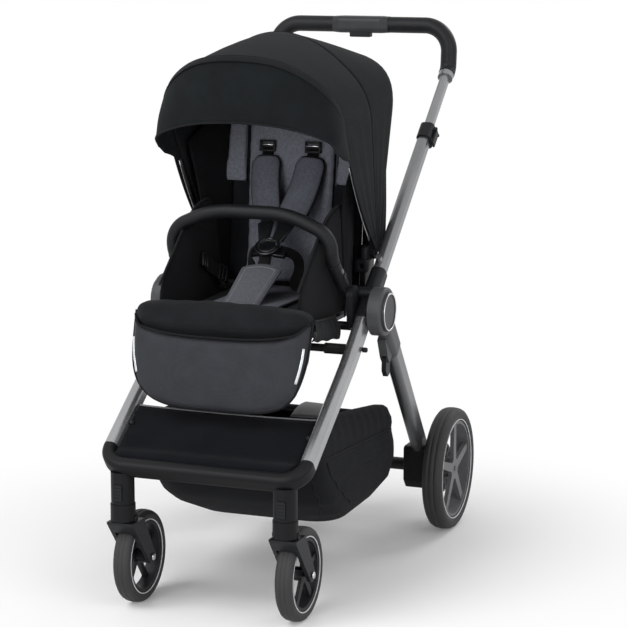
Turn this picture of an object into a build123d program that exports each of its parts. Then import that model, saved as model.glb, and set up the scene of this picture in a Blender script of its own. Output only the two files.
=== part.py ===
from build123d import *
from math import cos, radians, sin
import os

os.makedirs("parts", exist_ok=True)

# The stroller faces -Y, its left side is +X, it stands on Z = 0. Sizes in millimetres, angles in degrees.

# Fits
run_fit = 0.06  # radial room of a pin that turns in its bore
push_fit = 0.15  # room round a piece that is pushed into another
move_gap = 0.4  # room between pieces that move past each other
cloth_gap = 0.3  # room between a soft piece and what carries it
cut_over = 1.0  # how far a cut runs past the face it starts from

# Side frame: one straight line of tubes on each side, hinged at the hub
tube_x = 208.0  # half the distance between the two side planes
hub_y = -95.0
hub_z = 571.0
frame_slope = 39.6
leg_width = 28.0
leg_depth = 38.0
leg_corner = 11.0
tube_wall = 2.0
leg_plug_top = 14.0  # top of the leg tube above the hub axis, along the tube
leg_bend_at = 143.0  # bend of the leg below the hub axis
leg_bend_radius = 420.0
leg_end_y = -433.0
leg_end_z = 325.0
stud_radius = 6.5
stud_length = 14.0
leg_stud_at = -78.0
handle_stud_at = 122.0

# Knuckle between the leg and the handle
knuckle_width = 32.0
knuckle_depth = 44.0
knuckle_corner = 13.0
knuckle_low = -31.0  # ends of the moulded sleeve along the tube, from the hub axis
knuckle_high = 103.0
knuckle_high_depth = 38.0
fold_cut = 26.0  # where the sleeve parts when the frame folds
fold_pin_offset = 26.0  # the fold pin stands in front of the tube
fold_pin_radius = 4.5
ear_radius = 11.0
ear_half_width = 15.5
lug_half_width = 6.0
pivot_radius = 11.0
boss_radius = 24.0
boss_height = 1.0

# Handle tubes
upper_width = 26.0
upper_depth = 33.0
upper_corner = 10.0
upper_start = 62.0
upper_end = 505.0
inner_width = 19.0
inner_depth = 25.0
inner_corner = 7.5
inner_start = 330.0
inner_end = 698.0
collar_start = 485.0
collar_end = 524.0
collar_inside_wall = 1.5
collar_outside_wall = 5.0
collar_depth = 43.0
lever_inset = 9.0
lever_stand = 1.0
lever_length = 38.0
lever_width = 16.0
lever_thick = 6.0
lever_blade = 4.5
lever_blade_round = 1.5
lever_pin_radius = 2.5
lever_ear = 4.0
lever_ear_radius = 4.0

# Grip arch and console
grip_radius = 18.0
grip_kink_run = 13.0
grip_kink_rise = 10.9
grip_kink_radius = 28.0
grip_lean = 9.0
grip_rise = 95.0
grip_corner_radius = 58.0
ring_length = 14.0
ring_radius = 17.0
console_half = 66.0
console_body_half = 48.0
console_depth = 46.0
console_height = 38.0
console_corner = 12.0
trigger_inset = 4.0
trigger_half = 25.0
trigger_depth = 20.0
trigger_height = 18.0
trigger_proud = 9.0
trigger_travel = 5.0
trigger_corner = 4.0
trigger_round = 3.0

# Rear frame
disc_radius = 50.0
disc_thick = 28.6
disc_round = 6.0
cap_radius = 41.0
cap_thick = 5.0
cap_ring = 4.0
cap_recess = 1.2
rear_width = 28.0
rear_depth = 46.0
rear_corner = 12.0
rear_sleeve_end = 132.0
rear_sleeve_wall = 2.0
rear_tube_start = 98.0
rear_inner_cut = 95.0
rear_lean = 27.0  # the leg leans inwards by this much over its length
rear_foot_y = 255.0
rear_foot_z = 205.0
rear_foot_plug = 12.0

# Fold latch and its bracket, along the rear leg and ahead of it
latch_x = 233.0
latch_half = 5.0
latch_cheek = 4.0
latch_pin_radius = 3.0
latch_pin_along = 112.0
latch_pin_ahead = 36.0
latch_room = 14.0
latch_round = 3.0
latch_outline = ((104, 30), (104, 44), (122, 64), (140, 66), (146, 54), (126, 30))
bracket_outline = ((62, 10), (62, 30), (104, 44), (120, 44), (120, 10))

# Rear axle and wheels
axle_y = 333.0
rear_radius = 137.5
rear_wheel_x = 257.0
rear_tyre_half = 23.0
rear_rim_radius = 108.0
rear_rim_half = 18.0
rear_hub_radius = 24.0
rear_spoke_width = 21.0
rear_spoke_thick = 9.0
axle_radius = 6.0
axle_end_gap = 2.0
housing_in = 182.0
housing_out = 231.0
housing_top = 206.0
housing_low = 108.0
housing_front = 232.0
housing_back = 356.0
housing_round = 9.0
housing_edge = 4.0
housing_step = 40.0  # top step ahead of the axle
housing_hump_y = 6.0
housing_hump_z = 38.0
housing_tail = 12.0
housing_toe_y = 16.0
housing_toe_z = 20.0
axle_bar_radius = 14.0
socket_count = 12
socket_circle = 44.0
socket_radius = 6.6
socket_deep = 8.0
socket_rim = 12.0
brake_pin_radius = 4.0
brake_pin_length = 30.0
brake_pin_proud = 1.0
pedal_half = 38.0
pedal_tread_half = 30.0
pedal_wall = 6.0
pedal_reach = 82.0
pedal_knee = 66.0
pedal_thick = 9.0
pedal_round = 2.0
pedal_rise = 14.0

# Tyre section, as shares of its height and half width
tyre_bead = 4.0
tyre_wall_low = 0.32
tyre_wall_high = 0.58

# Rims
rim_barrel = 6.0
rim_inset = 3.0
spoke_count = 5
spoke_first = 18.0
spoke_taper = 88.6
bore_floor = 1.5

# Front bar, casters and wheels
bar_drop = 46.0  # from the end of the leg to the middle of the bar, along the leg
bar_corner_radius = 44.0
spigot_length = 25.0
post_x = 172.4
post_y = -461.0
post_low = 223.3
post_high = 288.0
post_radius = 23.5
post_chamfer = 3.0
stem_radius = 6.0
stem_length = 48.0
lock_half = 9.0
lock_low = 233.0
lock_high = 265.0
lock_deep = 14.0
lock_proud = 2.0
lock_travel = 3.0
lock_grooves = 4
lock_groove = 2.0
lock_groove_deep = 1.0
lock_border = 2.0
head_radius = 25.0
head_low = 189.0
fork_pin_y = -456.0
fork_pin_z = 192.0
fork_pin_radius = 4.0
fork_pin_proud = 1.5
fork_ear_radius = 12.0
fork_ear_half = 24.0
fork_lug_half = 14.5
fork_root = 17.0
fork_swing_room = 1.2  # room beside the lug for the travel of the suspension
fork_top_gap = 3.5
fork_half = 28.5
fork_shoulder = 23.0
fork_foot = 14.0
front_radius = 94.0
front_wheel_y = -388.0
front_tyre_half = 18.0
front_rim_radius = 72.0
front_rim_half = 14.0
front_hub_radius = 17.0
front_spoke_width = 15.0
front_spoke_thick = 7.0
front_axle_radius = 5.0
front_axle_proud = 2.0
tyre_room = 2.4

# Cross brace and basket
brace_at = -105.0
brace_radius = 8.0
brace_sleeve_radius = 11.0
brace_sleeve_length = 46.0
basket_wall = 3.0
basket_high = 345.0
basket_panel_rise = 47.0
basket_floor = (128.0, 150.0, -150.0, 110.0, 70.0)  # height, half width, front, back and corner of each row
basket_rows = (
    basket_floor,
    (162.0, 176.0, -225.0, 165.0, 80.0),
    (200.0, 182.0, -285.0, 190.0, 84.0),
    (245.0, 186.0, -343.0, 205.0, 86.0),
    (basket_high, 182.0, -402.0, 192.0, 82.0),
)

# Seat unit
adapter_in = 176.0
adapter_radius = 40.0
adapter_boss_radius = 26.0
bumper_pin_y = -118.0
bumper_pin_z = 606.0
bumper_lug_radius = 20.0
bumper_pin_radius = 6.0
bumper_pin_proud = 1.0
bumper_x = 172.0
bumper_radius = 14.0
bumper_eye_half = 6.5
bumper_eye_radius = 13.0
bumper_knee_y = -205.0
bumper_knee_z = 690.0
bumper_top_y = -213.0
bumper_top_z = 779.0
bumper_knee_radius = 45.0
bumper_shoulder_drop = 40.0
bumper_shoulder_run = 90.0
bumper_shoulder_radius = 50.0
bumper_crown_radius = 200.0
release_at = 68.0
release_radius = 6.0
release_deep = 7.0
release_proud = 2.0
release_travel = 2.5
release_round = 1.0
recline_y = 12.0
recline_z = 572.0
recline_pin_radius = 5.0
recline_eye_radius = 12.0
recline_eye_gap = 5.0
recline_eye_thick = 12.6
rail_thick = 7.7
rail_height = 22.0
seat_tube_radius = 9.0
lean = 83.0  # backrest from the horizontal
shell_low = 8.0
shell_high = 452.0
shell_back = -14.0
shell_thick = 8.0
shell_corner = 40.0
shell_arm = 20.0
foot_low = 11.0
foot_high = 29.0
gusset_low = 25.0
gusset_high = 65.0
web_high = 24.0
pad_side_in = 6.0
pad_low = 15.0
pad_high = 442.0
pad_thick = 26.0
pad_corner = 40.0
pad_draw = 6.0
liner_thick = 10.0
liner_head_half = 138.0
liner_head_low = 255.0
liner_waist_half = 100.0
liner_low_in = 8.0
liner_high_in = 10.0
liner_flare = 30.0
liner_round = 14.0
liner_edge = 4.0
wing_low = 150.0
wing_high = 350.0
wing_out = 173.0
wing_root = 1.0
wing_thick = 8.0
wing_reach = 64.0
wing_lip = 7.0
seat_half = 144.0
seat_front_y = -335.0
seat_back_y = -14.0
seat_pan_low = 545.0
seat_pan_thick = 8.0
seat_pan_corner = 24.0
cushion_thick = 34.0
cushion_corner = 30.0
cushion_draw = 5.0
cushion_rows = ((0.0, 1.0), (0.35, 0.0), (0.75, 0.4), (1.0, 2.0))  # share of the thickness, inset in draws
roll_half = 182.0
roll_front_y = -396.0
roll_depth = 68.0
roll_high = 608.0
roll_round = 20.0
roll_end = 10.0
roll_end_draw = 14.0
roll_side_draw = 4.0
panel_thick = 7.0
panel_round = 9.0
panel_low_z = 557.0
panel_front_y = -324.0
panel_front_z = 622.0
panel_knee_y = -174.0
panel_knee_z = 746.0
panel_top_z = 776.0
panel_top_front = -112.0
panel_top_back = -60.0
panel_back_y = -18.0
panel_back_z = 650.0

# Leg rest
leg_rest_y = -381.0
leg_rest_z = 541.0
leg_rest_half = 178.0
leg_rest_length = 124.0
leg_rest_board = 5.0
leg_rest_board_in = 6.0
leg_rest_board_corner = 30.0
leg_rest_pad = 17.0
leg_rest_pad_drop = 4.0
leg_rest_pad_corner = 34.0
leg_rest_pad_draw = 3.0
leg_rest_barrel = 6.0
leg_rest_barrel_half = 158.0
leg_rest_pin_radius = 3.0
leg_rest_pin_length = 18.0
leg_rest_ear = 7.0
leg_rest_ear_thick = 6.0
ledge_front = -371.0
ledge_round = 4.0

# Canopy: rear, middle and front arches about one pin, and the visor's edge
canopy_y = 22.0
canopy_z = 672.0
canopy_pin_radius = 5.0
canopy_pin_proud = 1.0
canopy_eye_radius = 13.0
canopy_lug_radius = 16.0
canopy_arm = 28.0
bow_thick = 5.4
bow_wide = 12.0
bow_drop = 8.0  # the cloth stands this much off the top of its bow
cloth = 3.0
cloth_low = 26.0
cloth_seam = 0.2
arch_bend = 70.0
visor_seam_low = 290.0
visor_low = 265.0
rear_arch = (72.5, 434.0, 68.0, 64.0, 10.0)  # angle, height, then rise, run and drop of the shoulder
mid_arch = (99.0, 470.0, 128.0, 100.0, 28.0)
front_arch = (126.0, 519.0, 104.0, 86.0, 14.0)
visor_edge = (135.5, 408.0, 104.0, 86.0, 14.0)
lug_thick = 8.0
lug_in = 168.0

# Harness
webbing = 2.4
webbing_width = 25.0
buckle_y = -116.0
buckle_z = 690.0
buckle_radius = 19.0
buckle_thick = 16.0
buckle_round = 3.0
lap_room = 1.3  # from the buckle's rim to the middle of the lap strap's end
tongue_room = 3.0
buckle_button_radius = 8.0
buckle_button_length = 6.5
buckle_button_proud = 1.0
buckle_well = 9.0
strap_foot_y = -262.0
strap_foot_z = 592.0
strap_foot_half = 21.0
strap_head_half = 15.0
strap_half_thick = 5.0
strap_round = 6.0
lap_knee_x = 84.0
lap_knee_y = -66.0
lap_knee_z = 640.0
lap_end_in = 1.5
lap_end_y = -30.0
lap_end_z = 596.0
lap_bend = 50.0
shoulder_x = 46.0
shoulder_low_x = 40.0
shoulder_top = 395.0
shoulder_slot = 318.0
shoulder_low = 190.0
shoulder_low_front = 54.0
shoulder_bend = 60.0
tongue_x = 14.0
shoulder_pad_half = 28.0
shoulder_pad_low = 14.0
shoulder_pad_length = 108.0
shoulder_pad_thick = 9.0
shoulder_pad_corner = 12.0
slider_half = 20.0
slider_height = 22.0
slider_thick = 6.0
slider_corner = 5.0
slider_at = 350.0

frame_along = Vector(0, cos(radians(frame_slope)), sin(radians(frame_slope)))
frame_behind = Vector(0, sin(radians(frame_slope)), -cos(radians(frame_slope)))
hub = Vector(0, hub_y, hub_z)
side_x = Vector(1, 0, 0)


def frame_point(along, behind=0.0, x=tube_x):
    return hub + frame_along * along + frame_behind * behind + side_x * x


def frame_plane(along):
    return Plane(origin=frame_point(along), x_dir=(1, 0, 0), z_dir=frame_along)


def save(piece, name):
    piece.label = name
    export_step(piece, f"parts/{name}.step")


def save_pair(left_piece, name):
    save(left_piece, f"{name}_left")
    save(mirror(left_piece, about=Plane.YZ, mode=Mode.PRIVATE), f"{name}_right")


def hollow_tube(width, depth, corner):
    RectangleRounded(width, depth, corner)
    RectangleRounded(width - 2 * tube_wall, depth - 2 * tube_wall, corner - tube_wall, mode=Mode.SUBTRACT)


# Front legs
leg_end = Vector(tube_x, leg_end_y, leg_end_z)
leg_bend = frame_point(-leg_bend_at)
leg_foot_dir = (leg_end - leg_bend).normalized()
with BuildPart() as front_legs:
    with BuildLine() as leg_path:
        FilletPolyline(frame_point(leg_plug_top), leg_bend, leg_end, radius=leg_bend_radius)
    with BuildSketch(Plane(origin=frame_point(leg_plug_top), x_dir=(1, 0, 0), z_dir=-frame_along)):
        hollow_tube(leg_width, leg_depth, leg_corner)
    sweep(path=leg_path.line)
    with BuildSketch(Plane(origin=frame_point(leg_stud_at, leg_depth / 2 - tube_wall / 2), z_dir=frame_behind)):
        Circle(stud_radius)
    extrude(amount=stud_length)
    mirror(about=Plane.YZ)
save(front_legs.part, "front_legs")

# Front bar with the caster posts
bar_corner = leg_end + leg_foot_dir * bar_drop
with BuildPart() as front_bar:
    with BuildLine() as bar_path:
        FilletPolyline(
            leg_end,
            bar_corner,
            Vector(-bar_corner.X, bar_corner.Y, bar_corner.Z),
            Vector(-leg_end.X, leg_end.Y, leg_end.Z),
            radius=bar_corner_radius,
        )
    with BuildSketch(Plane(origin=leg_end, x_dir=(1, 0, 0), z_dir=leg_foot_dir)):
        RectangleRounded(leg_width, leg_depth, leg_corner)
    sweep(path=bar_path.line)
    for side in (1, -1):
        foot = Vector(side * leg_end.X, leg_end.Y, leg_end.Z)
        with BuildSketch(Plane(origin=foot, x_dir=(1, 0, 0), z_dir=-leg_foot_dir)):
            RectangleRounded(
                leg_width - 2 * tube_wall - 2 * push_fit,
                leg_depth - 2 * tube_wall - 2 * push_fit,
                leg_corner - tube_wall - push_fit,
            )
        extrude(amount=spigot_length)
    with BuildSketch(Plane.XY.offset(post_low)):
        with Locations((post_x, post_y), (-post_x, post_y)):
            Circle(post_radius)
    extrude(amount=post_high - post_low)
    chamfer(front_bar.edges().filter_by(GeomType.CIRCLE).group_by(Axis.Z)[-1], post_chamfer)
    with BuildSketch(Plane.XY.offset(post_low)):
        with Locations((post_x, post_y), (-post_x, post_y)):
            Circle(stem_radius + run_fit)
    extrude(amount=stem_length + move_gap, mode=Mode.SUBTRACT)
    lock_face = post_radius - post_y
    with BuildSketch(Plane.XZ.offset(lock_face)):
        with Locations((post_x, (lock_low + lock_high) / 2), (-post_x, (lock_low + lock_high) / 2)):
            Rectangle(2 * (lock_half + move_gap), lock_high - lock_low + 2 * move_gap)
    extrude(amount=-(lock_deep + lock_travel), mode=Mode.SUBTRACT)
save(front_bar.part, "front_bar")

# Swivel lock buttons, ribbed on their face
with BuildPart() as lock_button:
    with BuildSketch(Plane.XZ.offset(lock_face + lock_proud)):
        with Locations((post_x, (lock_low + lock_high) / 2)):
            Rectangle(2 * lock_half, lock_high - lock_low)
    extrude(amount=-(lock_deep + lock_proud - move_gap))
    with BuildSketch(Plane.XZ.offset(lock_face + lock_proud)):
        with Locations((post_x, (lock_low + lock_high) / 2)):
            with GridLocations(0, (lock_high - lock_low) / (lock_grooves + 1), 1, lock_grooves):
                Rectangle(2 * (lock_half - lock_border), lock_groove)
    extrude(amount=-lock_groove_deep, mode=Mode.SUBTRACT)
save_pair(lock_button.part, "lock_button")

# Leg knuckles: sleeve for the leg, hinge ears and the rear leg's pivot
fold_pin = frame_point(fold_cut, -fold_pin_offset)
fold_plane = Plane(origin=fold_pin, x_dir=(0, 1, 0), z_dir=(1, 0, 0))
hub_plane = Plane(origin=frame_point(0), x_dir=(0, 1, 0), z_dir=(1, 0, 0))
knuckle_out = tube_x + knuckle_width / 2
disc_in = knuckle_out + boss_height + move_gap
with BuildPart() as leg_hubs:
    with BuildSketch(frame_plane(knuckle_low)):
        RectangleRounded(knuckle_width, knuckle_depth, knuckle_corner)
    extrude(amount=fold_cut - move_gap / 2 - knuckle_low)
    with BuildSketch(fold_plane):
        Circle(ear_radius)
    extrude(amount=ear_half_width, both=True)
    with BuildSketch(fold_plane):
        Circle(ear_radius + move_gap)
    extrude(amount=lug_half_width + move_gap / 2, both=True, mode=Mode.SUBTRACT)
    with BuildSketch(fold_plane):
        Circle(fold_pin_radius)
    extrude(amount=ear_half_width, both=True)
    with BuildSketch(frame_plane(knuckle_low)):
        RectangleRounded(leg_width + 2 * push_fit, leg_depth + 2 * push_fit, leg_corner + push_fit)
    extrude(amount=leg_plug_top + push_fit - knuckle_low, mode=Mode.SUBTRACT)
    with BuildSketch(hub_plane.offset(knuckle_width / 2)):
        Circle(boss_radius)
    extrude(amount=boss_height)
    with BuildSketch(hub_plane.offset(knuckle_width / 2)):
        Circle(pivot_radius)
    extrude(amount=disc_in + disc_thick - cap_thick - knuckle_out)
    mirror(about=Plane.YZ)
save(leg_hubs.part, "leg_hubs")

# Handle knuckles: sleeve for the upper tube and the hinge lug
with BuildPart() as handle_hubs:
    with BuildSketch(frame_plane(fold_cut + move_gap / 2)):
        RectangleRounded(knuckle_width, knuckle_depth, knuckle_corner)
    with BuildSketch(frame_plane(knuckle_high)):
        RectangleRounded(knuckle_width, knuckle_high_depth, knuckle_corner)
    loft()
    with BuildSketch(fold_plane):
        Circle(ear_radius + move_gap)
    extrude(amount=knuckle_width, both=True, mode=Mode.SUBTRACT)
    with BuildSketch(fold_plane):
        Circle(ear_radius)
    extrude(amount=lug_half_width, both=True)
    with BuildSketch(fold_plane.offset(-lug_half_width)):
        with Locations(fold_plane.to_local_coords(frame_point(fold_cut + ear_radius, -fold_pin_offset / 2))):
            Rectangle(2 * ear_radius, 2 * ear_radius, rotation=frame_slope)
    extrude(amount=2 * lug_half_width)
    with BuildSketch(fold_plane):
        Circle(fold_pin_radius + run_fit)
    extrude(amount=knuckle_width, both=True, mode=Mode.SUBTRACT)
    with BuildSketch(frame_plane(upper_start)):
        RectangleRounded(upper_width + 2 * push_fit, upper_depth + 2 * push_fit, upper_corner + push_fit)
    extrude(amount=knuckle_high - upper_start, mode=Mode.SUBTRACT)
    mirror(about=Plane.YZ)
save(handle_hubs.part, "handle_hubs")

# Upper tubes with the stop stud
with BuildPart() as upper_tubes:
    with BuildSketch(frame_plane(upper_start)):
        hollow_tube(upper_width, upper_depth, upper_corner)
    extrude(amount=upper_end - upper_start)
    with BuildSketch(Plane(origin=frame_point(handle_stud_at, tube_wall / 2 - upper_depth / 2), z_dir=-frame_behind)):
        Circle(stud_radius)
    extrude(amount=stud_length)
    mirror(about=Plane.YZ)
save(upper_tubes.part, "upper_tubes")

# Clamp collars
collar_in = tube_x - upper_width / 2 - collar_inside_wall
collar_out = tube_x + upper_width / 2 + collar_outside_wall
collar_mid = (collar_in + collar_out) / 2
lever_at = collar_end - lever_inset
lever_pin_x = collar_out + lever_thick / 2 + move_gap + lever_stand
lever_plane = Plane(origin=frame_point(lever_at, 0, lever_pin_x), x_dir=(1, 0, 0), z_dir=frame_behind)
with BuildPart() as collars:
    with BuildSketch(frame_plane(collar_start)):
        with Locations((collar_mid - tube_x, 0)):
            RectangleRounded(collar_out - collar_in, collar_depth, upper_corner + collar_inside_wall)
    extrude(amount=collar_end - collar_start)
    with BuildSketch(lever_plane):
        Circle(lever_ear_radius)
        with Locations((-lever_ear_radius, 0)):
            Rectangle(2 * lever_ear_radius, 2 * lever_ear_radius)
    extrude(amount=lever_width / 2 + lever_ear, both=True)
    with BuildSketch(lever_plane.offset(-lever_width / 2 - move_gap)):
        Circle(lever_ear_radius + move_gap)
    extrude(amount=lever_width + 2 * move_gap, mode=Mode.SUBTRACT)
    with BuildSketch(lever_plane):
        Circle(lever_pin_radius)
    extrude(amount=lever_width / 2 + lever_ear, both=True)
    with BuildSketch(frame_plane(collar_start)):
        RectangleRounded(upper_width + 2 * push_fit, upper_depth + 2 * push_fit, upper_corner + push_fit)
    extrude(amount=upper_end + push_fit - collar_start, mode=Mode.SUBTRACT)
    with BuildSketch(frame_plane(upper_end)):
        RectangleRounded(inner_width + 2 * move_gap, inner_depth + 2 * move_gap, inner_corner + move_gap)
    extrude(amount=collar_end - upper_end, mode=Mode.SUBTRACT)
    mirror(about=Plane.YZ)
save(collars.part, "collars")

# Clamp levers
with BuildPart() as collar_lever:
    with BuildSketch(lever_plane.offset(-lever_width / 2)):
        Circle(lever_thick / 2)
        with Locations(((lever_thick - lever_blade) / 2, lever_length / 2)):
            RectangleRounded(lever_blade, lever_length, lever_blade_round)
    extrude(amount=lever_width)
    with BuildSketch(lever_plane.offset(-lever_width / 2)):
        Circle(lever_pin_radius + run_fit)
    extrude(amount=lever_width, mode=Mode.SUBTRACT)
save_pair(collar_lever.part, "collar_lever")

# Telescopic inner tubes with their end rings
with BuildPart() as inner_tubes:
    with BuildSketch(frame_plane(inner_start)):
        hollow_tube(inner_width, inner_depth, inner_corner)
    extrude(amount=inner_end - inner_start)
    with BuildSketch(frame_plane(inner_end - ring_length)):
        Circle(ring_radius)
    extrude(amount=ring_length)
    mirror(about=Plane.YZ)
save(inner_tubes.part, "inner_tubes")

# Grips, one arch half each side of the console
grip_foot = frame_point(inner_end + cloth_gap)
grip_kink_y = grip_foot.Y + grip_kink_run
grip_kink_z = grip_foot.Z + grip_kink_rise
grip_top_y = grip_kink_y + grip_lean
grip_top_z = grip_kink_z + grip_rise
with BuildPart() as handle_grips:
    with BuildLine() as grip_path:
        FilletPolyline(
            grip_foot,
            (tube_x, grip_kink_y, grip_kink_z),
            (tube_x, grip_top_y, grip_top_z),
            (console_half + cloth_gap, grip_top_y, grip_top_z),
            radius=(grip_kink_radius, grip_corner_radius),
        )
    with BuildSketch(frame_plane(inner_end + cloth_gap)):
        Circle(grip_radius)
    sweep(path=grip_path.line)
    mirror(about=Plane.YZ)
save(handle_grips.part, "handle_grips")

# Console box in the middle of the handle
trigger_y = grip_top_y - console_depth / 2 + trigger_depth / 2 + trigger_inset
trigger_top = grip_top_z - console_height / 2 + trigger_height - trigger_proud
with BuildPart() as handle_console:
    for x, width, height in (
        (-console_half, 2 * grip_radius, 2 * grip_radius),
        (-console_body_half, console_depth, console_height),
        (console_body_half, console_depth, console_height),
        (console_half, 2 * grip_radius, 2 * grip_radius),
    ):
        with BuildSketch(Plane.YZ.offset(x)):
            with Locations((grip_top_y, grip_top_z)):
                RectangleRounded(width, height, console_corner)
    loft(ruled=True)
    with BuildSketch(Plane.XY.offset(grip_top_z - console_height / 2 - cut_over)):
        with Locations((0, trigger_y)):
            Rectangle(2 * (trigger_half + move_gap), trigger_depth + 2 * move_gap)
    extrude(amount=trigger_height - trigger_proud + trigger_travel + cut_over + move_gap, mode=Mode.SUBTRACT)
save(handle_console.part, "handle_console")

with BuildPart() as fold_trigger:
    with BuildSketch(Plane.XY.offset(trigger_top)):
        with Locations((0, trigger_y)):
            RectangleRounded(2 * trigger_half, trigger_depth, trigger_corner)
    extrude(amount=-trigger_height)
    fillet(fold_trigger.faces().sort_by(Axis.Z)[0].edges(), trigger_round)
save(fold_trigger.part, "fold_trigger")

# Rear hinge discs with the sleeve of the rear leg and the latch bracket
disc_mid = disc_in + disc_thick / 2
rear_top = Vector(disc_mid, hub_y, hub_z)
rear_foot = Vector(disc_mid - rear_lean, rear_foot_y, rear_foot_z)
rear_dir = (rear_foot - rear_top).normalized()
rear_ahead = Vector(0, rear_dir.Z, -rear_dir.Y).normalized()
rear_length = (rear_foot - rear_top).length


def rear_plane(along):
    return Plane(origin=rear_top + rear_dir * along, x_dir=(1, 0, 0), z_dir=rear_dir)


def rear_side(along, ahead):
    spot = rear_top + rear_dir * along + rear_ahead * ahead
    return (spot.Y, spot.Z)


latch_pin = rear_side(latch_pin_along, latch_pin_ahead)
bracket_in = latch_x - latch_half - latch_cheek
bracket_width = 2 * (latch_half + latch_cheek)
with BuildPart() as rear_hubs:
    with BuildSketch(rear_plane(0)):
        RectangleRounded(disc_thick, rear_depth + 2 * rear_sleeve_wall, rear_corner)
    with BuildSketch(rear_plane(rear_sleeve_end)):
        RectangleRounded(
            rear_width + 2 * rear_sleeve_wall, rear_depth + 2 * rear_sleeve_wall, rear_corner + rear_sleeve_wall
        )
    loft()
    with BuildSketch(Plane.YZ.offset(disc_in - knuckle_width)):
        with Locations((hub_y, hub_z)):
            Circle(rear_inner_cut)
    extrude(amount=knuckle_width, mode=Mode.SUBTRACT)
    with BuildPart(mode=Mode.PRIVATE) as disc:
        with BuildSketch(Plane.YZ.offset(disc_in)):
            with Locations((hub_y, hub_z)):
                Circle(disc_radius)
        extrude(amount=disc_thick)
        fillet(disc.faces().sort_by(Axis.X)[-1].edges(), disc_round)
    add(disc.part)
    with BuildSketch(Plane.YZ.offset(bracket_in)):
        with BuildLine():
            Polyline(*(rear_side(*corner) for corner in bracket_outline), close=True)
        make_face()
    extrude(amount=bracket_width)
    with BuildSketch(Plane.YZ.offset(latch_x - latch_half - move_gap)):
        with Locations(latch_pin):
            Circle(latch_room)
    extrude(amount=2 * (latch_half + move_gap), mode=Mode.SUBTRACT)
    with BuildSketch(Plane.YZ.offset(bracket_in)):
        with Locations(latch_pin):
            Circle(latch_pin_radius)
    extrude(amount=bracket_width)
    with BuildSketch(Plane.YZ.offset(disc_in)):
        with Locations((hub_y, hub_z)):
            Circle(pivot_radius + run_fit)
    extrude(amount=disc_thick - cap_thick + move_gap, mode=Mode.SUBTRACT)
    with BuildSketch(rear_plane(rear_tube_start - push_fit)):
        RectangleRounded(rear_width + 2 * push_fit, rear_depth + 2 * push_fit, rear_corner + push_fit)
    extrude(amount=rear_sleeve_end - rear_tube_start + 2 * cut_over, mode=Mode.SUBTRACT)
    mirror(about=Plane.YZ)
save(rear_hubs.part, "rear_hubs")

# Round caps on the outside of the hinge discs, with a raised ring
with BuildPart() as hub_caps:
    with BuildSketch(hub_plane.offset(disc_in + disc_thick - tube_x)):
        Circle(cap_radius)
    extrude(amount=cap_thick)
    fillet(hub_caps.edges().sort_by(Axis.X)[-1], cap_ring / 2)
    with BuildSketch(hub_plane.offset(disc_in + disc_thick + cap_thick - tube_x)):
        Circle(cap_radius - cap_ring)
    extrude(amount=-cap_recess, mode=Mode.SUBTRACT)
    mirror(about=Plane.YZ)
save(hub_caps.part, "hub_caps")

# Rear leg tubes
with BuildPart() as rear_legs:
    with BuildSketch(rear_plane(rear_tube_start)):
        hollow_tube(rear_width, rear_depth, rear_corner)
    extrude(amount=rear_length + rear_foot_plug - rear_tube_start)
    mirror(about=Plane.YZ)
save(rear_legs.part, "rear_legs")

# Fold latch, a hook on each rear leg
with BuildPart() as fold_latch:
    with BuildSketch(Plane.YZ.offset(latch_x - latch_half)):
        with BuildLine():
            Polyline(*(rear_side(*corner) for corner in latch_outline), close=True)
        make_face()
    extrude(amount=2 * latch_half)
    fillet(fold_latch.edges().filter_by(Axis.X), latch_round)
    with BuildSketch(Plane.YZ.offset(latch_x - latch_half)):
        with Locations(latch_pin):
            Circle(latch_pin_radius + run_fit)
    extrude(amount=2 * latch_half, mode=Mode.SUBTRACT)
    mirror(about=Plane.YZ)
save(fold_latch.part, "fold_latch")

# Axle housings at the feet of the rear legs
axle_z = rear_radius
brake_spot = (axle_y - socket_circle, axle_z)
with BuildPart() as axle_housings:
    with BuildSketch(Plane.YZ.offset(housing_in)):
        with BuildLine():
            FilletPolyline(
                (housing_front, housing_top),
                (axle_y - housing_step, housing_top),
                (axle_y + housing_hump_y, axle_z + housing_hump_z),
                (housing_back, axle_z + housing_tail),
                (housing_back, housing_low),
                (housing_front + housing_toe_y, housing_low),
                (housing_front, housing_low + housing_toe_z),
                radius=housing_round,
                close=True,
            )
        make_face()
    extrude(amount=housing_out - housing_in)
    fillet(axle_housings.faces().sort_by(Axis.X)[0].edges(), housing_edge)
    with BuildSketch(rear_plane(rear_tube_start)):
        RectangleRounded(rear_width + 2 * push_fit, rear_depth + 2 * push_fit, rear_corner + push_fit)
    extrude(amount=rear_length + rear_foot_plug + push_fit - rear_tube_start, mode=Mode.SUBTRACT)
    with BuildSketch(Plane.YZ.offset(housing_in)):
        with Locations((axle_y, axle_z)):
            Circle(axle_radius + push_fit)
        with Locations(brake_spot):
            Circle(brake_pin_radius + run_fit)
    extrude(amount=housing_out - housing_in, mode=Mode.SUBTRACT)
    mirror(about=Plane.YZ)
save(axle_housings.part, "axle_housings")

# Axle bar and the steel rod in it
axle_rod_end = rear_wheel_x + rear_rim_half - axle_end_gap
with BuildPart() as axle_bar:
    with BuildSketch(Plane.YZ.offset(push_fit - housing_in)):
        with Locations((axle_y, axle_z)):
            Circle(axle_bar_radius)
            Circle(axle_radius + push_fit, mode=Mode.SUBTRACT)
    extrude(amount=2 * (housing_in - push_fit))
    with BuildSketch(Plane.YZ.offset(-axle_rod_end)):
        with Locations((axle_y, axle_z)):
            Circle(axle_radius)
    extrude(amount=2 * axle_rod_end)
save(axle_bar.part, "axle_bar")

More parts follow.
